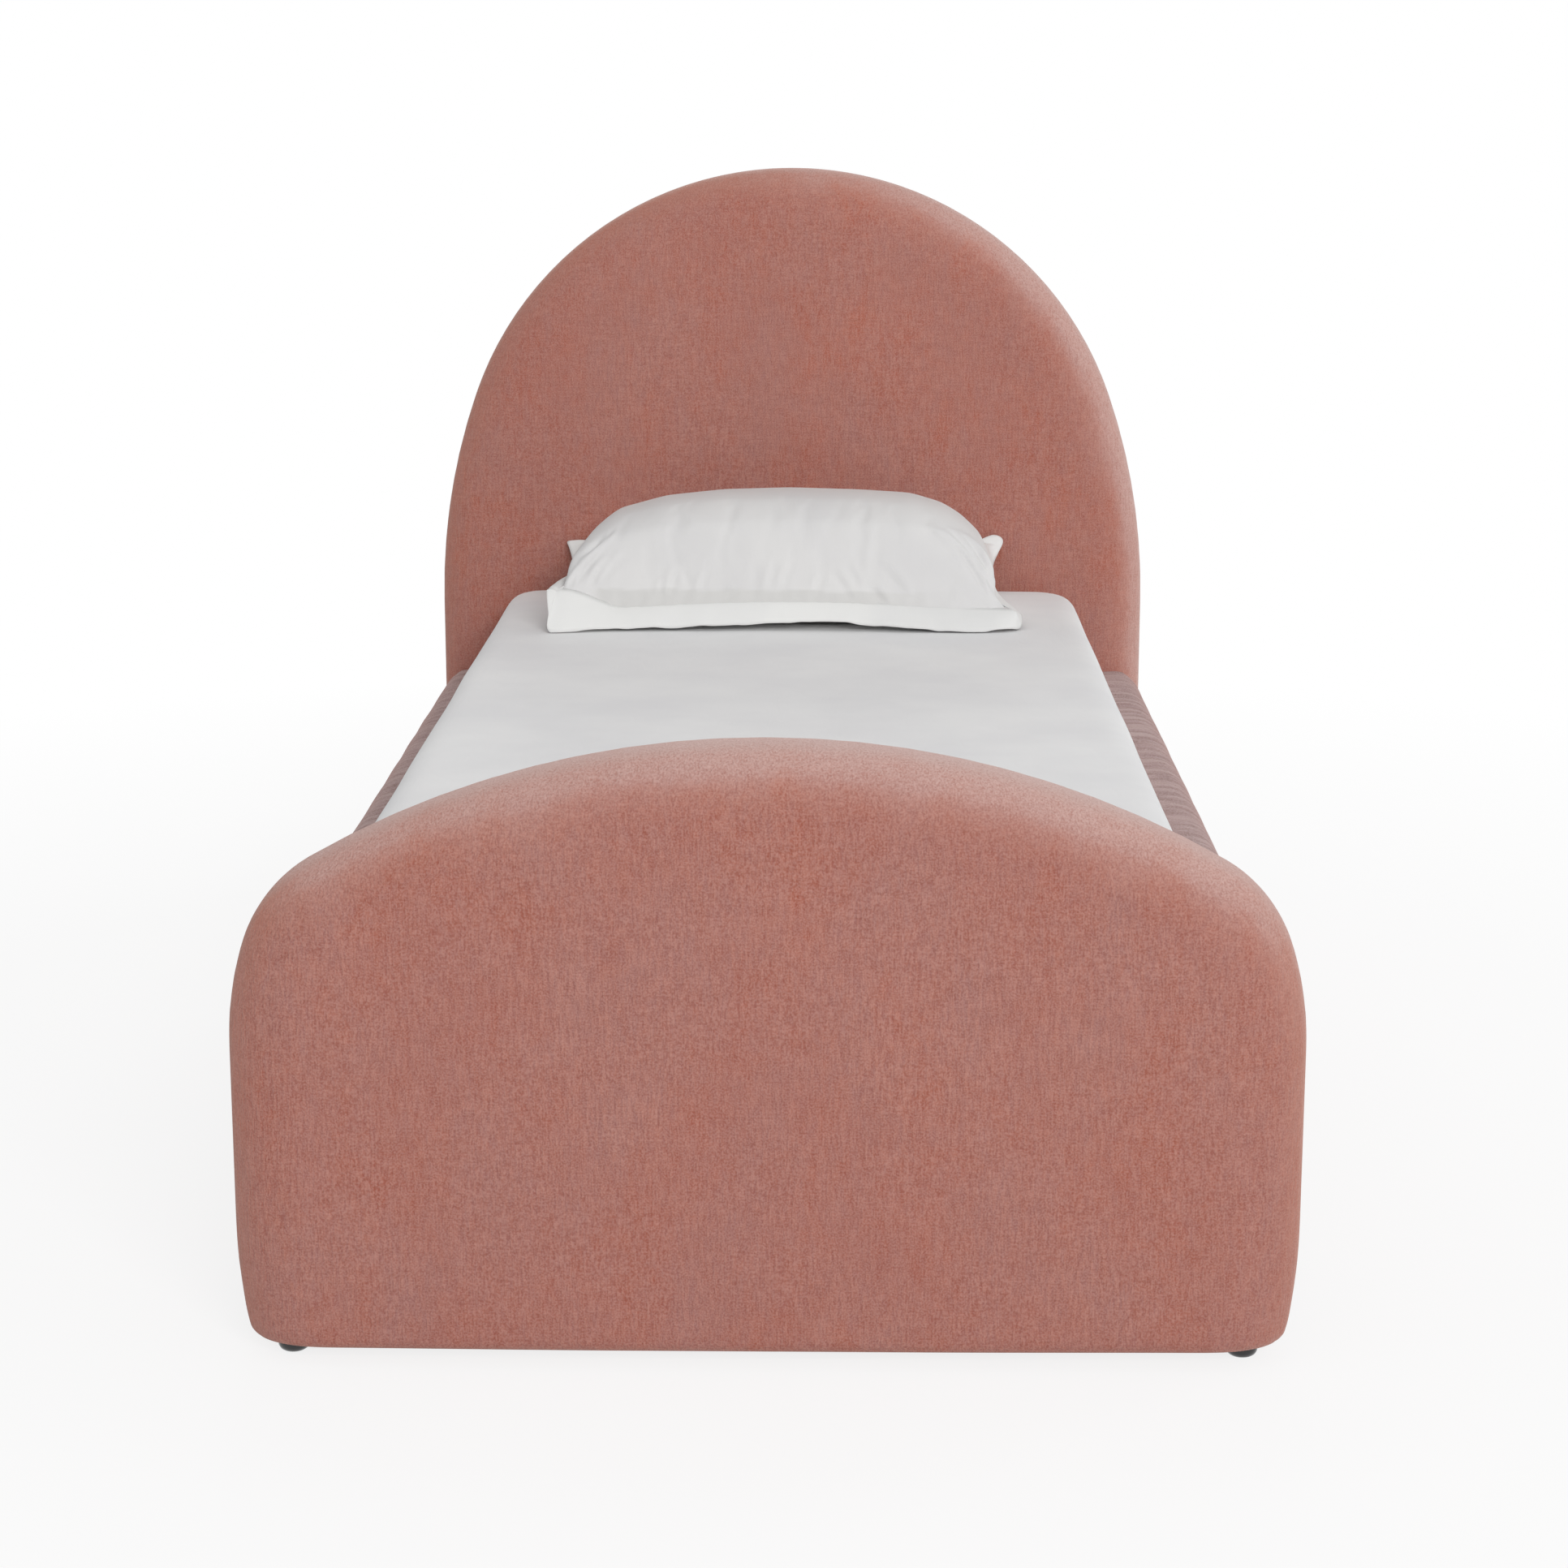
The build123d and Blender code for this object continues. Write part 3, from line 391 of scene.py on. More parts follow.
# The border takes a lighter copy of the case cotton: a painted highlight
lighter_border_cotton = cotton("cotton_percale_border_painted_lighter", "#E4E4E2", "#DEDEDD", 0.05)
ticking_cotton = cotton("cotton_ticking", "#DAD6CE", "#D0CBC2", 0.05)
plywood = wood("birch_plywood", "#C9A878", "#B08A5A", (9, 9, 60), 0.7)
timber = wood("pine_framing_timber", "#D2AE78", "#AE7F4A", (60, 60, 7), 0.75)
slat_wood = wood("planed_pine_slat", "#D9B983", "#BC9059", (6, 90, 90), 0.6)
long_wood = wood("planed_pine_bearer", "#D3B17A", "#B2864F", (90, 6, 90), 0.6)
black_steel = coated("black_powder_coated_steel", "#17181A", 0.5, 900, 0.12 * MM)
plated_steel = coated("zinc_plated_steel", "#B9BCC0", 0.34, 500, 0.04 * MM, Metallic=1)
brass = coated("turned_brass", "#B89A55", 0.3, 700, 0.04 * MM, Metallic=1)
black_nylon = coated("moulded_black_nylon", "#1B1B1C", 0.55, 1200, 0.05 * MM)
glide_plastic = coated("polished_black_plastic", "#0C0C0D", 0.16, 300, 0.02 * MM, Coat_Weight=0.4)
under_cloth = coated("black_spunbond_cloth", "#1E1E20", 0.9, 1500, 0.2 * MM)
strap_cloth = coated("woven_polyester_tape", "#2B2B2D", 0.75, 900, 0.3 * MM)

slot_materials = {
    "frame_plywood": plywood,
    "frame_timber": timber,
    "slat_wood": slat_wood,
    "black_steel": black_steel,
    "plated_steel": plated_steel,
    "insert_brass": brass,
    "black_nylon": black_nylon,
}


# Boards
def outline_arcs(height, arc_shares):
    """Arcs down the right half of a board: centre x, centre z, radius, first and last angle."""
    radius = arc_shares[0][0] * half_width
    centre_x = 0
    centre_z = height - radius
    angle = 0
    arcs = []
    for share, last_angle in arc_shares:
        next_radius = share * half_width
        centre_x += (radius - next_radius) * math.sin(math.radians(angle))
        centre_z += (radius - next_radius) * math.cos(math.radians(angle))
        radius = next_radius
        arcs.append((centre_x, centre_z, radius, angle, last_angle))
        angle = last_angle
    sine = math.sin(math.radians(angle))
    last_radius = (half_width - centre_x - radius * sine) / (1 - sine)
    centre_x += (radius - last_radius) * sine
    centre_z += (radius - last_radius) * math.cos(math.radians(angle))
    arcs.append((centre_x, centre_z, last_radius, angle, 90))
    return arcs


def depth_in(places, arcs):
    """How far each point lies inside the outline's arch and sides."""
    x = np.abs(places[:, 0])
    z = places[:, 2]
    depth = np.full(len(x), 9.0)
    for centre_x, centre_z, radius, first, last in arcs:
        angle = np.degrees(np.arctan2(x - centre_x, z - centre_z))
        here = (angle >= first - 0.01) & (angle <= last + 0.01)
        reach = radius - np.hypot(x - centre_x, z - centre_z)
        depth = np.where(here, np.minimum(depth, reach), depth)
    low = z < arcs[-1][1]
    depth = np.where(low, half_width - x, depth)
    tuck = tuck_radius - np.hypot(x - (half_width - tuck_radius), z - tuck_top)
    return np.where(z < tuck_top, tuck, depth)


def padded_board(name, height, arc_shares, end_y, bulge, seed):
    """An arched board drawn as half an outline, mirrored, given its depth and broad round
    edges, then padded: its faces fall away softly towards the rim."""
    low, high = end_y
    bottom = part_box(name + "board_cover")[0].z
    arcs = outline_arcs(height, arc_shares)
    piece = point_at(name + "board_upholstery", (0, low, height))
    for centre_x, centre_z, _, first, last in arcs:
        bpy.ops.mesh.spin(
            steps=max(3, round((last - first) / 3)), angle=math.radians(last - first),
            center=(centre_x, low, centre_z), axis=(0, -1, 0),
        )
    drop = {"value": (0, 0, tuck_top - arcs[-1][1])}
    bpy.ops.mesh.extrude_region_move(TRANSFORM_OT_translate=drop)
    turn = math.asin((tuck_top - bottom) / tuck_radius)
    bpy.ops.mesh.spin(
        steps=6, angle=turn, center=(half_width - tuck_radius, low, tuck_top), axis=(0, -1, 0),
    )
    base_x = half_width - tuck_radius * (1 - math.cos(turn))
    bpy.ops.mesh.extrude_region_move(TRANSFORM_OT_translate={"value": (-base_x, 0, 0)})
    end()
    apply(piece, "MIRROR", use_axis=(True, False, False), merge_threshold=0.0005)
    begin(piece)
    bpy.ops.mesh.select_all(action="SELECT")
    bpy.ops.mesh.remove_doubles(threshold=0.0005)
    bpy.ops.mesh.edge_face_add()
    bpy.ops.mesh.extrude_region_move(TRANSFORM_OT_translate={"value": (0, high - low, 0)})
    bpy.ops.mesh.select_all(action="SELECT")
    bpy.ops.mesh.normals_make_consistent(inside=False)
    for face_y in (low, high):
        pick_edges(
            piece,
            lambda a, b: abs(a.y + b.y - 2 * face_y) < EPS and max(a.z, b.z) > bottom + EPS,
        )
        bpy.ops.mesh.bevel(offset=rim_radius, segments=14, affect="EDGES", clamp_overlap=False)
    pick_edges(piece, lambda a, b: max(a.z, b.z) < bottom + EPS)
    bpy.ops.mesh.bevel(offset=base_radius, segments=4, affect="EDGES", clamp_overlap=False)
    end()
    remesh(piece, board_squares)
    pad_faces(piece, arcs, (low + high) / 2, (high - low) / 2, bulge, seed)
    smooth(piece)
    return piece


def pad_faces(piece, arcs, middle_y, half_depth, bulge, seed):
    """Rounds the faces off towards the rim, swells the outer one and ripples the wadding; bulge
    is the outer face's direction and its swell."""
    places = points_of(piece)
    depth = np.clip(depth_in(places, arcs), 0, None)
    inner = half_depth - rim_radius
    turned_in = np.clip(depth, 0, rim_radius)
    firm = inner + np.sqrt(np.clip(rim_radius ** 2 - (rim_radius - turned_in) ** 2, 0, None))
    share = np.clip(1 - depth / pad_reach, 0, 1)
    soft = half_depth * (1 - share ** pad_power) ** (1 / pad_power)
    ratio = np.clip(soft / np.maximum(firm, MM), 0.8, 1)
    ratio = 1 + (ratio - 1) * ease(depth, 0, 14 * MM)
    side = places[:, 1] - middle_y
    outer = (side * bulge[0] > 0).astype(float)
    swell = bulge[1] * ease(depth, 40 * MM, 420 * MM) * outer
    face = ease(np.abs(side) / half_depth, 0.3, 0.9)
    wave = ripples(places * (1, 0.2, 0.8), 0.16, seed) * 0.8 * MM
    wave *= ease(depth, 10 * MM, 90 * MM) * ease(places[:, 2], 0.02, 0.1)
    # The inner face stays calm behind the mattress and the rails
    wave *= np.where(outer > 0, 1, ease(places[:, 2], 0.6, 0.75))
    places[:, 1] = middle_y + side * ratio + np.sign(side) * (swell + wave) * face
    move_points(piece, places)


head_low, head_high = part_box("headboard_cover")
foot_low, foot_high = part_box("footboard_cover")
headboard = padded_board("head", head_high.z, head_arcs, (head_low.y, head_high.y), (-1, 0), 3)
footboard = padded_board("foot", foot_high.z, foot_arcs, (foot_low.y, foot_high.y), (-1, 4 * MM), 8)
for piece, name, finish in (
    (headboard, "headboard", velvet_headboard), (footboard, "footboard", velvet_footboard),
):
    piece.data.materials.append(finish)
    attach(piece, "bed_frame")
    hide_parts(name + "_cover", name + "_foam")


# Side rails; the wadding lofts a little over the cover's flat top, and the outer face tucks in
# where a rail runs into a board
rail_loft = 12 * MM
rail_tuck = 9 * MM
rail_tuck_start = 0.955


def padded_rail(side_name, side):
    """A padded rail with broad round top edges, run into the padding of both boards."""
    low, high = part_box(side_name + "_rail_cover")
    high.z += rail_loft
    reach = high.y + 5 * MM
    piece = cube(side_name + "_rail_upholstery", (low.x, -reach, low.z), (high.x, reach, high.z))
    inner = low.x if side > 0 else high.x
    outer = high.x if side > 0 else low.x
    begin(piece)
    for x, z, radius, count in (
        (outer, high.z, 46 * MM, 10), (inner, high.z, 16 * MM, 6),
        (outer, low.z, 10 * MM, 4), (inner, low.z, 5 * MM, 3),
    ):
        pick_edges(
            piece,
            lambda a, b: abs(a.x + b.x - 2 * x) < EPS and abs(a.z + b.z - 2 * z) < EPS,
        )
        bpy.ops.mesh.bevel(offset=radius, segments=count, affect="EDGES")
    pick_faces(piece, lambda c, n: abs(n.y) > 0.9)
    bpy.ops.mesh.region_to_loop()
    bpy.ops.mesh.bevel(offset=6 * MM, segments=2, affect="EDGES")
    end()
    remesh(piece, rail_squares)
    places = points_of(piece)
    across = (places[:, 0] - (low.x + high.x) / 2) / (high.x - low.x) * 2
    top = ease(places[:, 2], high.z - 40 * MM, high.z - 8 * MM)
    crown = (1 - across ** 2) * 3 * MM - 1.5 * MM
    wave = ripples(places * (0.3, 1, 0.3), 0.13, 5 + side) * 0.7 * MM
    places[:, 2] += top * (crown + wave)
    outwards = ease(across * side, 0.5, 0.9) * ease(places[:, 2], low.z + 10 * MM, low.z + 60 * MM)
    places[:, 0] += side * outwards * ripples(places * (0.3, 1, 1), 0.19, 9 + side) * 0.8 * MM
    tucked = ease(np.abs(places[:, 1]), rail_tuck_start, reach)
    places[:, 0] -= side * ease(across * side, 0.2, 1) * tucked * rail_tuck
    move_points(piece, places)
    smooth(piece)
    piece.data.materials.append(velvet_rail)
    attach(piece, "bed_frame")
    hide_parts(side_name + "_rail_cover", side_name + "_rail_foam")


padded_rail("right", 1)
padded_rail("left", -1)


# Mattress and fitted sheet
def mattress_form(name, inset):
    """The mattress block drawn in by inset, with its corners and upper edge rounded."""
    low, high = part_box("mattress_cover")
    off = Vector((inset,) * 3)
    piece = cube(name, low + off, high - off)
    begin(piece)
    pick_edges(piece, lambda a, b: abs(a.z - b.z) > EPS)
    bpy.ops.mesh.bevel(offset=70 * MM, segments=12, affect="EDGES")
    pick_edges(piece, lambda a, b: min(a.z, b.z) > high.z - inset - EPS)
    bpy.ops.mesh.bevel(offset=36 * MM, segments=8, affect="EDGES")
    pick_edges(piece, lambda a, b: max(a.z, b.z) < low.z + inset + EPS)
    bpy.ops.mesh.bevel(offset=15 * MM, segments=4, affect="EDGES")
    end()
    remesh(piece, mattress_squares)
    return piece


def mattress_waves(places):
    """How far the sheet stands off its upper face: slack folds, fainter towards the middle."""
    top = ease(places[:, 2], 0.52, 0.56)
    folds = ripples(places * (1, 0.35, 1), 0.09, 21) * 0.9 * MM
    edge = ease(np.abs(places[:, 0]), 0.25, 0.42)
    return top * folds * (0.35 + 0.65 * edge)


mattress = mattress_form("mattress_ticking", 1.8 * MM)
smooth(mattress)
mattress.data.materials.append(ticking_cotton)
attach(mattress, "mattress")
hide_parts("mattress_cover", "mattress_base_foam", "mattress_comfort_foam")

sheet_thickness = 0.6 * MM
turned_under = 90 * MM
fitted_sheet = mattress_form("fitted_sheet", sheet_thickness)
begin(fitted_sheet)
low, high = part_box("mattress_cover")
pick_faces(
    fitted_sheet,
    lambda c, n: (
        c.z < low.z + 4 * MM
        and abs(c.x) < high.x - turned_under and abs(c.y) < high.y - turned_under
    ),
)
bpy.ops.mesh.delete(type="FACE")
end()
places = points_of(fitted_sheet)
move_points(fitted_sheet, places + normals_of(fitted_sheet) * mattress_waves(places)[:, None])
smooth(fitted_sheet)
apply(fitted_sheet, "SOLIDIFY", thickness=sheet_thickness, offset=-1)
fitted_sheet.data.materials.append(sheet_cotton)
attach(fitted_sheet, "mattress")


# Pillow
seat_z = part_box("mattress_cover")[1].z + sheet_thickness
wall_y = head_low.y
seam_front = 0.530
seam_back = wall_y - 0.020
body_middle_y = 0.74

# Height of the filled body over the mattress at places across it, as shares of its half width
crown_line = (
    (-1, 0.060), (-0.985, 0.090), (-0.968, 0.105), (-0.900, 0.131), (-0.810, 0.150),
    (-0.590, 0.171), (-0.315, 0.181), (0, 0.184), (0.344, 0.181), (0.590, 0.176),
    (0.738, 0.161), (0.852, 0.137), (0.951, 0.110), (0.985, 0.068), (1, 0.030),
)
# Creases in the case: both ends, across it and up its front as the front is looked at, then
# width and height, in mm; all heights are lifted by one share
crease_lift = 1.35
case_creases = (
    (-195, 50, -182, 99, 7, 2.2), (-207, 52, -202, 82, 5, 1.2), (-146, 61, -133, 96, 6, 1.4),
    (-160, 59, -173, 97, 6, 1.3), (-103, 55, -81, 64, 5, 1.2), (-37, 58, -29, 104, 7, 1.5),
    (-17, 60, -2, 111, 7, 1.4), (35, 63, 50, 89, 6, 1.4), (76, 98, 110, 44, 7, 2.0),
    (99, 104, 118, 72, 6, 1.5), (127, 77, 166, 40, 7, 2.0), (147, 111, 200, 53, 8, 1.8),
    (284, 154, 330, 74, 4, 3.2), (270, 160, 326, 84, 4, 3.4), (256, 164, 318, 80, 4, 3.6),
    (244, 160, 322, 58, 5, 4.0), (218, 168, 283, 105, 6, 2.6), (296, 112, 340, 46, 4, 2.6),
    (-352, 66, -313, 116, 4, 2.6), (-340, 72, -300, 124, 4, 2.8), (-322, 66, -284, 118, 5, 2.4),
    (-304, 78, -262, 122, 6, 1.8), (-286, 150, -334, 104, 4, 2.6), (-272, 158, -322, 112, 4, 2.0),
)
# Outer edge of the sewn border, clockwise from its front left corner: x, y and height over the
# mattress
border_edge = (
    (-0.370, 0.484, 0.002), (-0.300, 0.500, 0.003), (-0.200, 0.512, 0.004), (-0.090, 0.516, 0.008),
    (0.030, 0.518, 0.013), (0.120, 0.514, 0.010), (0.200, 0.505, 0.004), (0.290, 0.498, 0.002),
    (0.345, 0.508, 0.003), (0.367, 0.528, 0.003), (0.371, 0.560, 0.016), (0.359, 0.620, 0.018),
    (0.343, 0.690, 0.012), (0.336, 0.780, 0.008), (0.335, 0.870, 0.018), (0.344, 0.925, 0.046),
    (0.360, 0.950, 0.079), (0.344, 0.956, 0.090), (0.324, 0.957, 0.080), (0.270, 0.958, 0.084),
    (0.150, 0.958, 0.112), (0.000, 0.958, 0.120), (-0.150, 0.958, 0.112), (-0.290, 0.958, 0.080),
    (-0.345, 0.956, 0.077), (-0.372, 0.954, 0.078), (-0.382, 0.953, 0.077), (-0.378, 0.944, 0.068),
    (-0.366, 0.920, 0.040), (-0.348, 0.870, 0.046), (-0.345, 0.780, 0.062), (-0.354, 0.660, 0.066),
    (-0.370, 0.575, 0.064), (-0.378, 0.532, 0.060), (-0.380, 0.522, 0.056), (-0.376, 0.500, 0.030),
)


def smooth_line(points, count):
    """Points evenly along a closed line that runs smoothly through the given ones."""
    points = np.array(points, float)
    total = len(points)
    share = np.linspace(0, total, count, endpoint=False)
    index = share.astype(int)
    t = (share - index)[:, None]
    p0, p1, p2, p3 = (points[(index + step) % total] for step in (-1, 0, 1, 2))
    return 0.5 * (
        2 * p1 + (p2 - p0) * t + (2 * p0 - 5 * p1 + 4 * p2 - p3) * t ** 2
        + (3 * p1 - p0 - 3 * p2 + p3) * t ** 3
    )


def seam_place(u, v):
    """The seam's plane at a share across the pillow and a share from front to back."""
    front = seam_front + 0.006 * (1 - u ** 2)
    left = 0.337 + 0.028 * (1 - v) ** 3
    right = 0.332 + 0.028 * (1 - v) ** 18
    x = u * np.where(u < 0, left, right)
    y = front + v * (seam_back - front)
    z = seat_z + 0.028 + 0.012 * (1 - u ** 2) ** 2 + v * 0.048
    z = z + 0.030 * ease(-u, 0.72, 1) * (1 - v) ** 1.5
    return x, y, z


def pillow_body(name):
    """The case's two panels, sewn round their edge and filled; crowned, with full sides, and
    flat where they lie on the mattress."""
    across, along = 121, 77
    t = np.linspace(-1, 1, across)
    s = np.linspace(-1, 1, along)
    u = np.sin(t * math.pi / 2) * 0.4 + t * 0.6
    v = (np.sin(s * math.pi / 2) * 0.4 + s * 0.6) / 2 + 0.5
    u, v = np.meshgrid(u, v)
    x, y, z = seam_place(u, v)
    lines = np.array(crown_line)
    crown = np.interp(u, lines[:, 0], lines[:, 1])
    for _ in range(3):
        crown[:, 1:-1] = (crown[:, :-2] + 2 * crown[:, 1:-1] + crown[:, 2:]) / 4
    lean = v ** 0.92
    round_v = np.clip(1 - np.abs(2 * lean - 1) ** 2.5, 0, 1) ** 0.6 * ease(v, 0.005, 0.15)
    round_u = np.clip(1 - np.abs(u) ** 4, 0, 1) ** 0.5
    lip = 0.012 * ease(v, 0, 0.06) * (1 - v) * ease(1 - np.abs(u), 0, 0.03)
    upper = z + np.maximum(seat_z + crown - z, 0.25 * crown * round_u) * round_v + lip
    full = np.clip(round_v * round_u, 0, 1)
    lower = np.maximum(z - (z - seat_z) * 2.2 * full ** 0.7, seat_z)
    belly = 0.010 * round_v * np.clip(np.abs(u) - 0.55, 0, 1) * np.sign(u) * round_u
    top = np.stack([x + belly, y, upper], -1).reshape(-1, 3)
    under = np.stack([x + belly, y, lower], -1).reshape(-1, 3)
    rows, columns = u.shape
    count = rows * columns
    faces = []
    for i in range(rows - 1):
        for j in range(columns - 1):
            a = i * columns + j
            faces.append((a, a + 1, a + columns + 1, a + columns))
            faces.append((count + a, count + a + columns, count + a + columns + 1, count + a + 1))
    piece = piece_of(name, np.concatenate([top, under]), faces)
    rim = np.flatnonzero(((np.abs(u) == 1) | (v == 0) | (v == 1)).ravel())
    seam = piece.vertex_groups.new(name="seam")
    seam.add([int(i) for i in np.concatenate([rim, rim + count])], 1, "REPLACE")
    begin(piece)
    close_up(0.1 * MM)
    end()
    return piece


def swell(piece, frames, pressure, slack, limit):
    """Fills a sewn case by cloth simulation, held along its seam, with cloth to spare."""
    before = points_of(piece)
    bpy.ops.object.select_all(action="DESELECT")
    bpy.context.view_layer.objects.active = piece
    piece.select_set(True)
    bpy.ops.object.modifier_add(type="CLOTH")
    modifier = piece.modifiers[-1]
    cloth = modifier.settings
    cloth.quality = 5
    cloth.mass = 0.2
    cloth.tension_stiffness = 12
    cloth.compression_stiffness = 6
    cloth.shear_stiffness = 3
    cloth.bending_stiffness = 0.02
    cloth.use_pressure = True
    cloth.uniform_pressure_force = pressure
    cloth.shrink_min = -slack
    cloth.vertex_group_mass = "seam"
    cloth.effector_weights.gravity = 0
    for number in range(1, frames + 1):
        bpy.context.scene.frame_set(number)
    bpy.ops.object.modifier_apply(modifier=modifier.name)
    bpy.context.scene.frame_set(1)
    piece.vertex_groups.clear()
    moved = points_of(piece) - before
    far = np.linalg.norm(moved, axis=1, keepdims=True)
    moved *= 0.5 * np.minimum(1, limit / np.maximum(far, 1e-6))
    move_points(piece, before + moved)


def height_seen(places):
    """How high each place of the case shows as its front is looked at from a little above."""
    return 0.98 * (places[:, 2] - seat_z) + 0.19 * (places[:, 1] - seam_front)


def faces_front(normals, low, high):
    """How much of each direction points to the front and up, from 0 at low to 1 at high."""
    return ease(normals[:, 2] * 0.5 - normals[:, 1] * 0.85, low, high)


def crease(piece, strokes):
    """Raises a soft fold with a hollow beside it along each stroke on a piece's front and top."""
    places = points_of(piece)
    normals = normals_of(piece)
    across = places[:, 0]
    up = height_seen(places)
    total = np.zeros(len(places))
    for stroke in strokes:
        x0, w0, x1, w1, width, height = (value * MM for value in stroke)
        run = math.hypot(x1 - x0, w1 - w0)
        along = ((across - x0) * (x1 - x0) + (up - w0) * (w1 - w0)) / run ** 2
        off = ((across - x0) * (w1 - w0) - (up - w0) * (x1 - x0)) / run
        off = off + 0.06 * run * np.sin(math.pi * np.clip(along, 0, 1))
        taper = np.clip(np.sin(math.pi * np.clip(along, 0, 1)), 0, 1) ** 0.8
        ridge = np.exp(-(off / width) ** 2) - 0.8 * np.exp(-((off - 1.5 * width) / width) ** 2)
        total += taper * ridge * height * crease_lift
    seen = faces_front(normals, -0.05, 0.35)
    move_points(piece, places + normals * (total * seen)[:, None])


def mark_seam_shade(piece):
    """Marks the strip over the front seam where painted shade darkens the case as it turns under to
    the seam.
    """
    places = points_of(piece)
    across = places[:, 0]
    up = height_seen(places)
    top = 62 * MM - 4 * MM * ease(across, -0.1, 0.2) + 1.2 * MM * np.sin(across * 60)
    inside = 1 - ease(up, top - 2 * MM, top + 1 * MM)
    share = inside * ease(across, -0.315, -0.295) * (1 - ease(across, 0.1, 0.3))
    share *= (places[:, 1] < 0.62) * faces_front(normals_of(piece), -0.05, 0.2)
    seam_shade = piece.data.attributes.new(name="seam_shade", type="FLOAT", domain="POINT")
    seam_shade.data.foreach_set("value", share.astype(np.float32))


def pillow_border(name):
    """The case's flat border of two layers, from the seam out to its own free edge."""
    outer = smooth_line(border_edge, 640)
    outer[:, 2] += seat_z
    half_across = np.where(outer[:, 0] < 0, 0.362, 0.356)
    front = 0.532
    u = np.clip(outer[:, 0] / half_across, -1, 1)
    v = np.clip((outer[:, 1] - front) / (seam_back - front), 0, 1)
    # Each point of the free edge belongs to the nearest side of the seam
    at_side = 0.35 * (1 - np.abs(u)) < 0.42 * np.minimum(v, 1 - v)
    u = np.where(at_side, np.sign(u), u)
    v = np.where(at_side, v, np.round(v))
    inner = np.stack(seam_place(u, v), -1)
    inner[:, 2] += ease(np.minimum(v, 1 - v), 0, 0.03) * (np.abs(u) == 1) * 3 * MM
    # A first row inside the body, so that no gap shows along the seam
    hidden = inner * (0.975, 0.965, 1) + (0, body_middle_y * 0.035, 4 * MM)
    steps = 9
    share = np.linspace(0, 1, steps)[:, None, None]
    rows = np.concatenate([hidden[None], inner + (outer - inner) * share])
    share = np.concatenate([share[:1], share])
    flow = ripples(outer * (1, 1, 0.3), 0.075, 31) * 1.6 * MM + ripples(outer, 0.030, 32) * 0.5 * MM
    arch = np.sin(math.pi * share[:, :, 0]) * 2.5 * MM
    rows[:, :, 2] += arch + share[:, :, 0] ** 1.5 * flow
    rows[:, :, 2] = np.maximum(rows[:, :, 2], seat_z + 1.0 * MM)
    rows[:, :, 1] = np.minimum(rows[:, :, 1], wall_y - 1.5 * MM)
    count = len(outer)
    faces = []
    for i in range(steps):
        for j in range(count):
            k = (j + 1) % count
            faces.append((i * count + j, (i + 1) * count + j, (i + 1) * count + k, i * count + k))
    piece = piece_of(name, rows.reshape(-1, 3), faces)
    begin(piece)
    close_up(0.1 * MM)
    end()
    apply(piece, "SOLIDIFY", thickness=1.2 * MM, offset=0)
    smooth(piece)
    return piece


pillow = pillow_body("filled_pillowcase")
swell(pillow, frames=20, pressure=3.0, slack=0.03, limit=12 * MM)
places = points_of(pillow)
places[:, 2] = np.maximum(places[:, 2], seat_z + 0.2 * MM)
places[:, 1] = np.minimum(places[:, 1], wall_y - 3 * MM)
move_points(pillow, places)
apply(pillow, "SUBSURF", levels=1, render_levels=1)
crease(pillow, case_creases)
mark_seam_shade(pillow)
smooth(pillow)
pillow.data.materials.append(case_cotton)
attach(pillow, "pillow")
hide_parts("pillow_fill", "pillowcase")

border = pillow_border("pillowcase_border")
border.data.materials.append(lighter_border_cotton)
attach(border, "pillow")


# Dust cloths and slat straps, both held by wire staples
staple_wire = 1.0 * MM
staple_crown = 10 * MM
staple_margin = 7 * MM
staple_pitch = 70 * MM
cloth_low, cloth_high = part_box("dust_cloths")
rail_cloth_z = cloth_high.z - 0.5 * MM
board_cloth_z = cloth_low.z + 0.5 * MM
cloth_inner_x = 519.5 * MM
board_cloth_x = 498.4 * MM
board_cloth_y = (1011 * MM, 1058 * MM)
rail_cloth_y = 918 * MM
strap_low, strap_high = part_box("slat_webbing")
strap_width = 25 * MM
slat_count = 14
slat_width = 68 * MM
slat_pitch = (2 * strap_high.y - slat_width) / (slat_count - 1)
slat_places = [(step - (slat_count - 1) / 2) * slat_pitch for step in range(slat_count)]


def tight_cloth(name, low, high, rows, columns):
    """A level sheet drawn as a grid between two corners."""
    bpy.ops.object.select_all(action="DESELECT")
    middle = (Vector(low) + Vector(high)) / 2
    bpy.ops.mesh.primitive_grid_add(
        x_subdivisions=columns, y_subdivisions=rows, size=1, location=middle,
    )
    piece = bpy.context.object
    piece.name = name
    piece.scale = (high[0] - low[0], high[1] - low[1], 1)
    settle(piece)
    return piece


def near_edge(places, low, high):
    """How far each point of a level sheet lies inside its outline."""
    across = np.minimum(places[:, 0] - low[0], high[0] - places[:, 0])
    along = np.minimum(places[:, 1] - low[1], high[1] - places[:, 1])
    return np.minimum(across, along)


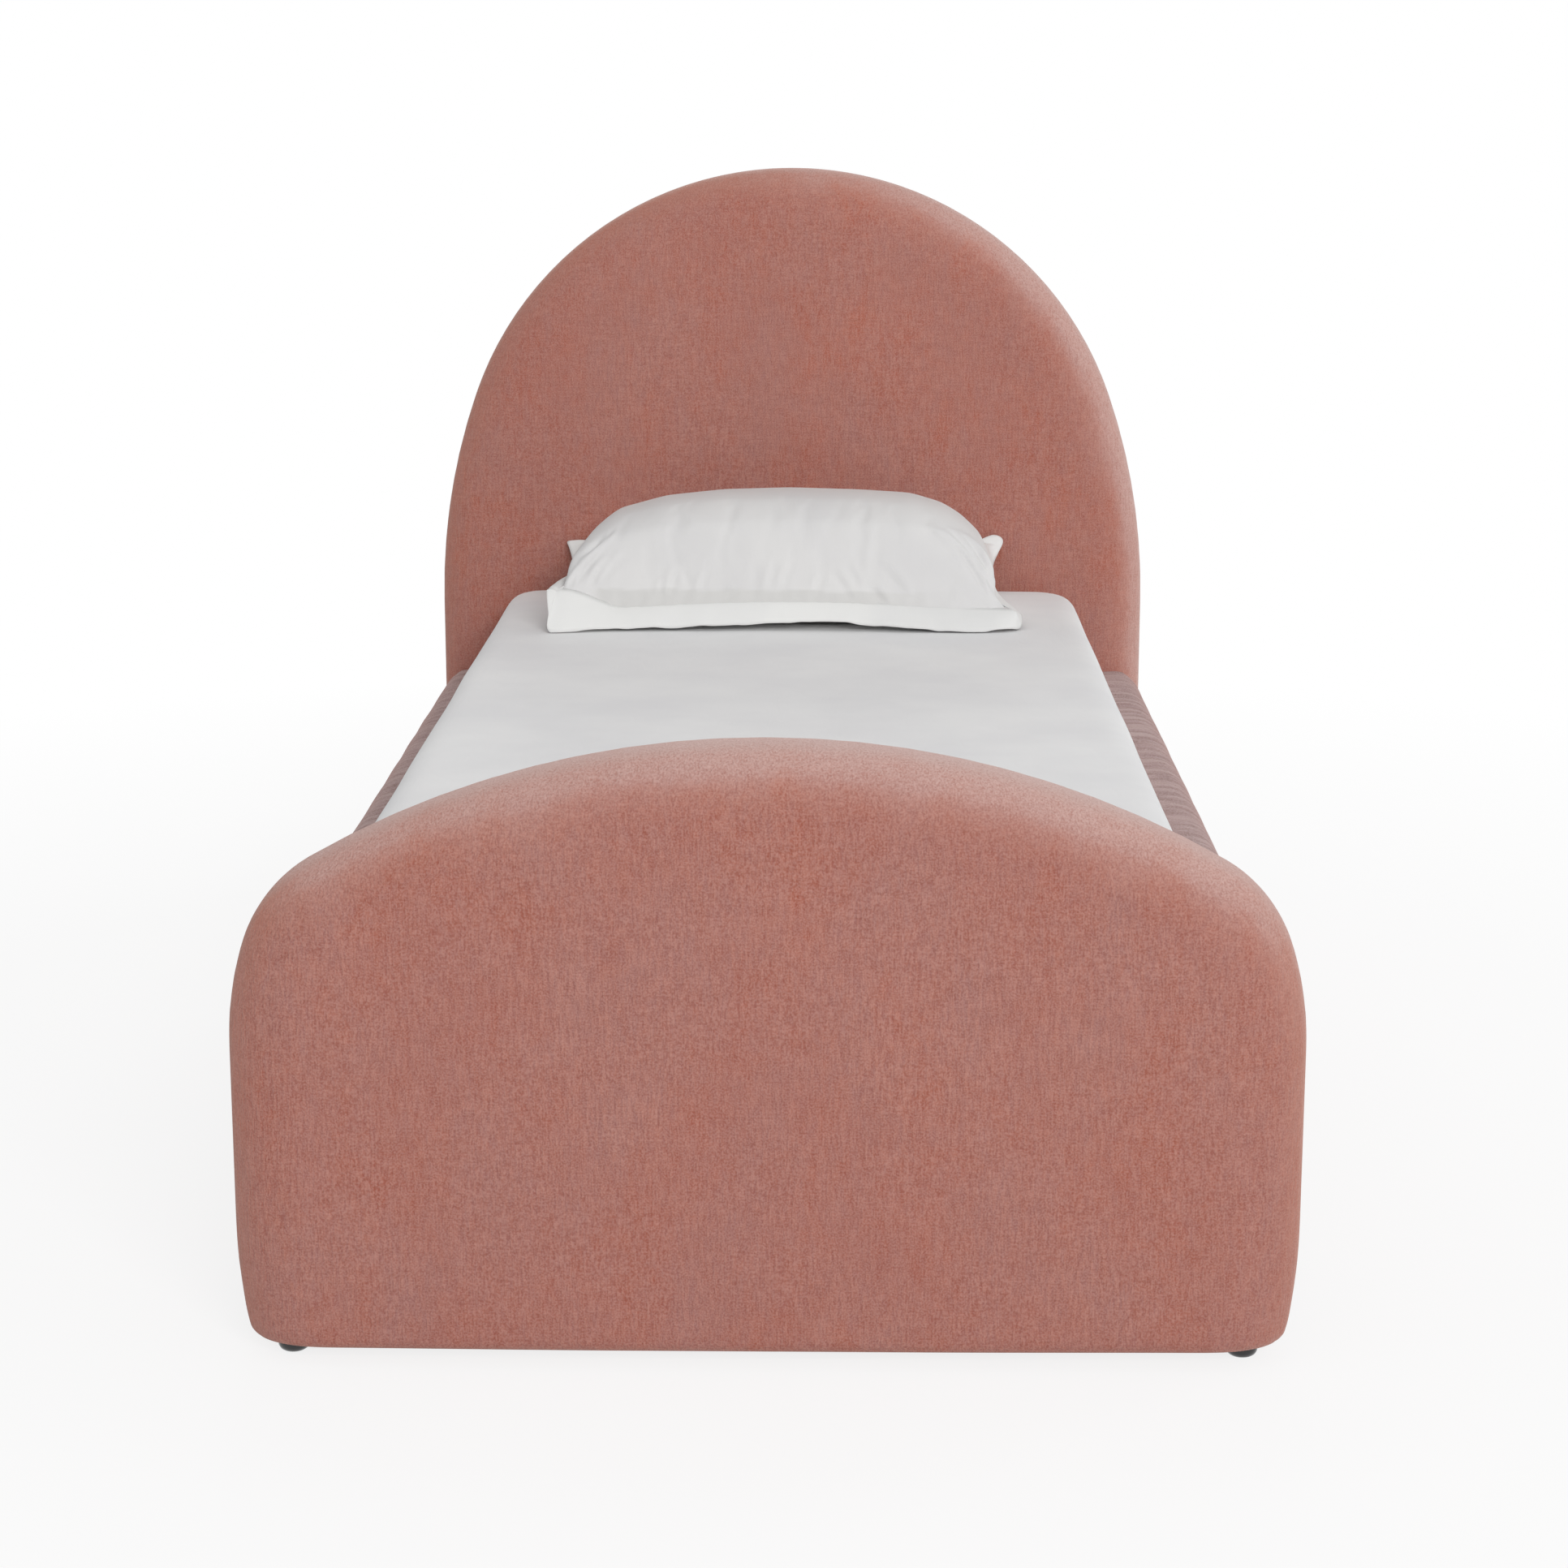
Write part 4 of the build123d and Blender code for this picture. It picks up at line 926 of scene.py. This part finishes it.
def dust_cloth(name, low, high):
    """A cloth stapled tight under a board or rail, drawn up at its staples and a little slack
    between them. Gives whether it runs along the bed, and the places of its staples."""
    length = max(high[0] - low[0], high[1] - low[1])
    width = min(high[0] - low[0], high[1] - low[1])
    along_y = high[1] - low[1] > high[0] - low[0]
    fine = round(length / (9 * MM))
    rows, columns = (fine, 10) if along_y else (10, fine)
    cloth = tight_cloth(name + "_dust_cloth", low, high, rows, columns)
    places = points_of(cloth)
    inside = near_edge(places, low, high)
    run = places[:, 1] if along_y else places[:, 0]
    pulled = 0.5 - 0.5 * np.cos(2 * math.pi * run / staple_pitch)
    places[:, 2] -= ease(inside, 6 * MM, 20 * MM) * 1.2 * MM
    places[:, 2] -= (1 - ease(inside, 0, 9 * MM)) * pulled * 0.9 * MM
    places[:, 2] -= ease(inside, 2 * MM, 12 * MM) * (ripples(places, 0.09, 40) + 1) * 0.35 * MM
    move_points(cloth, places)
    smooth(cloth)
    apply(cloth, "SOLIDIFY", thickness=0.4 * MM, offset=0)
    cloth.data.materials.append(under_cloth)
    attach(cloth, "bed_frame")
    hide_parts("dust_cloths")
    middle_x = (low[0] + high[0]) / 2
    middle_y = (low[1] + high[1]) / 2
    count = int(length / 2 / staple_pitch)
    held_at = []
    for step in range(-count, count + 1):
        for side in (-1, 1):
            run = step * staple_pitch
            off = side * (width / 2 - staple_margin)
            x, y = (off, run) if along_y else (run, off)
            held_at.append((middle_x + x, middle_y + y, low[2] - 0.9 * MM))
    return along_y, held_at


def slat_strap(side_name, side):
    """A tape stapled under every slat, slack between them. Gives the places of its staples."""
    outer = side * strap_high.x
    inner = outer - side * strap_width
    low = (min(outer, inner), strap_low.y + 1 * MM, strap_high.z - 0.6 * MM)
    high = (max(outer, inner), strap_high.y - 1 * MM, low[2])
    strap = tight_cloth(side_name + "_slat_strap", low, high, 270, 8)
    places = points_of(strap)
    nearest = np.min(np.abs(places[:, 1][:, None] - np.array(slat_places)[None]), axis=1)
    free = ease(nearest, slat_width / 2, slat_pitch / 2)
    edge = np.minimum(places[:, 0] - low[0], high[0] - places[:, 0])
    places[:, 2] -= free * 2.2 * MM - free * (1 - ease(edge, 0, 6 * MM)) * 0.5 * MM
    move_points(strap, places)
    smooth(strap)
    apply(strap, "SOLIDIFY", thickness=1.0 * MM, offset=0)
    strap.data.materials.append(strap_cloth)
    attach(strap, "bed_frame")
    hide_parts("slat_webbing")
    middle_x = (low[0] + high[0]) / 2
    held_z = strap_low.z - 0.4 * MM
    return [(middle_x + off, y, held_z) for y in slat_places for off in (-6 * MM, 6 * MM)]


def staples(name, places, along_y):
    """Wire staples with round shoulders: one is shaped, and the rest are its copies."""
    size = (staple_wire, staple_crown) if along_y else (staple_crown, staple_wire)
    reach = Vector((*size, staple_wire)) / 2
    first = cube(name, Vector(places[0]) - reach, Vector(places[0]) + reach)
    begin(first)
    lowest = places[0][2] - staple_wire / 2
    pick_edges(first, lambda a, b: max(a.z, b.z) < lowest + 0.05 * MM)
    bpy.ops.mesh.bevel(offset=staple_wire * 0.35, segments=2, affect="EDGES")
    end()
    copies = []
    for place in places[1:]:
        copy = first.copy()
        copy.data = first.data.copy()
        bpy.context.scene.collection.objects.link(copy)
        copy.data.transform(Matrix.Translation(Vector(place) - Vector(places[0])))
        copies.append(copy)
    bpy.ops.object.select_all(action="DESELECT")
    for copy in copies:
        copy.select_set(True)
    first.select_set(True)
    bpy.context.view_layer.objects.active = first
    bpy.ops.object.join()
    first.data.materials.append(plated_steel)
    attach(first, "bed_frame")


cloth_staples = {True: [], False: []}
for name, x_range, y_range, z in (
    ("headboard", (-board_cloth_x, board_cloth_x), board_cloth_y, board_cloth_z),
    (
        "footboard", (-board_cloth_x, board_cloth_x), (-board_cloth_y[1], -board_cloth_y[0]),
        board_cloth_z,
    ),
    ("right_rail", (cloth_inner_x, cloth_high.x), (-rail_cloth_y, rail_cloth_y), rail_cloth_z),
    ("left_rail", (cloth_low.x, -cloth_inner_x), (-rail_cloth_y, rail_cloth_y), rail_cloth_z),
):
    along_y, held_at = dust_cloth(
        name, (x_range[0], y_range[0], z), (x_range[1], y_range[1], z),
    )
    cloth_staples[along_y] += held_at
staples("rail_cloth_staples", cloth_staples[True], True)
staples("board_cloth_staples", cloth_staples[False], False)
staples("strap_staples", slat_strap("right", 1) + slat_strap("left", -1), True)


# Corner glides
def turned(name, profile, place):
    """A piece turned about an upright axis from its half section."""
    piece = point_at(name, (place.x + profile[0][0], place.y, place.z + profile[0][1]))
    for (x0, z0), (x1, z1) in zip(profile, profile[1:]):
        bpy.ops.mesh.extrude_region_move(TRANSFORM_OT_translate={"value": (x1 - x0, 0, z1 - z0)})
    bpy.ops.mesh.select_all(action="SELECT")
    bpy.ops.mesh.spin(steps=40, angle=2 * math.pi, center=place, axis=(0, 0, 1))
    close_up(0.05 * MM)
    end()
    return piece


glide_radius = 18.5 * MM
glide_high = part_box("corner_glides")[1]
glide_x = glide_high.x - glide_radius
glide_y = glide_high.y - glide_radius
glide_section = [(x * MM, z * MM) for x, z in (
    (0, 0), (9, 0), (13, 0.9), (16.2, 3.2), (18.1, 6.8), (18.5, 10.5), (18.2, 13.8), (16.6, 16.4),
    (14.4, 17.6), (12, 18), (0, 18),
)]
for end_name, end_y in (("head", glide_y), ("foot", -glide_y)):
    for side_name, side in (("right", 1), ("left", -1)):
        name = end_name + "_" + side_name + "_glide"
        glide = turned(name, glide_section, Vector((side * glide_x, end_y, 0)))
        smooth(glide)
        glide.data.materials.append(glide_plastic)
        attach(glide, "bed_frame")
        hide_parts("corner_glides")

# Materials of the rigid pieces, which keep their own shapes; the grain of the long bearers runs
# along the bed
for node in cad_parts.values():
    for slot in node.material_slots:
        kind = slot.material.name.split(".")[0] if slot.material else ""
        if kind in slot_materials:
            slot.material = slot_materials[kind]
for name in ("centre_beam", "right_slat_ledge", "left_slat_ledge"):
    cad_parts[name].material_slots[0].material = long_wood


# Stage, light and camera
def seen_by(tree, *kinds):
    """1 for the given kinds of ray, to which floor and backdrop show plain white."""
    path = add(tree, "LightPath")
    seen = path.outputs[kinds[0]]
    for kind in kinds[1:]:
        seen = add(tree, "Math", {0: seen, 1: path.outputs[kind]}, operation="MAXIMUM").outputs[0]
    return seen


def floor_material():
    """A plain white studio floor that still takes the object's shadow."""
    made, tree, shader = material("white_studio_floor", "#F4F4F4", 0.9, Specular_IOR_Level=0.1)
    seen = seen_by(tree, "Is Camera Ray", "Is Glossy Ray")
    place = add(tree, "TexCoord").outputs["Object"]
    far = add(tree, "VectorMath", {0: place}, operation="LENGTH").outputs["Value"]
    # Plainer white from 1.4 to 3.2 m off, beyond the object's shadow
    white = contrast(tree, far, 1.4, 3.2, 0.82, 1)
    share = add(tree, "Math", {0: seen, 1: white}, operation="MULTIPLY").outputs[0]
    glow = add(tree, "Emission", {"Color": (1, 1, 1, 1), "Strength": 1})
    mixed = add(tree, "MixShader", {0: share, 1: shader.outputs[0], 2: glow.outputs[0]})
    tree.links.new(mixed.outputs[0], tree.nodes["Material Output"].inputs["Surface"])
    return made


bpy.ops.mesh.primitive_plane_add(size=60, location=(0, 0, 0))
floor = bpy.context.object
floor.name = "studio_floor"
floor.data.materials.append(floor_material())

world = bpy.data.worlds.new("white_studio")
bpy.context.scene.world = world
world.use_nodes = True
tree = world.node_tree
seen = seen_by(tree, "Is Camera Ray", "Is Glossy Ray", "Is Transmission Ray")
strength = add(tree, "MapRange", {0: seen, "To Min": 0.45, "To Max": 1})
tree.nodes["Background"].inputs["Color"].default_value = (1, 1, 1, 1)
tree.links.new(strength.outputs[0], tree.nodes["Background"].inputs["Strength"])


def softbox(name, place, target, width, height, power):
    """A large soft lamp that points at a target."""
    lamp = bpy.data.lights.new(name, "AREA")
    lamp.shape = "RECTANGLE"
    lamp.size = width
    lamp.size_y = height
    lamp.energy = power
    piece = bpy.data.objects.new(name, lamp)
    piece.location = place
    piece.rotation_euler = (Vector(target) - Vector(place)).to_track_quat("-Z", "Y").to_euler()
    bpy.context.scene.collection.objects.link(piece)


softbox("key_softbox", (4.1, -12.6, 6.4), (0, 0, 0.5), width=6.0, height=4.5, power=1090)
softbox("top_softbox", (0.2, -0.2, 4.4), (0, -0.2, 0.4), width=3.0, height=3.0, power=13)
softbox("back_softbox", (0, 7.5, 3.8), (0, 1.1, 0.6), width=4.0, height=3.0, power=120)
softbox("rim_softbox", (4.0, 1.4, 1.8), (0.6, 1.0, 0.7), width=1.2, height=2.4, power=18)

# Focal length and frame in pixels, and the camera's turn down and sideways in degrees
focal_pixels = 3986.1
frame_pixels = 1932
sensor_width = 36
turned_down = 12.498
turned_left = 0.918
camera = bpy.data.objects.new("camera", bpy.data.cameras.new("camera"))
bpy.context.scene.collection.objects.link(camera)
camera.data.sensor_width = sensor_width
camera.data.lens = sensor_width * focal_pixels / frame_pixels
camera.location = (0.0752, -4.5178, 1.4331)
camera.rotation_euler = (math.radians(90 - turned_down), 0, math.radians(turned_left))
camera.data.clip_end = 100
bpy.context.scene.camera = camera
bpy.context.scene.view_settings.view_transform = "Standard"
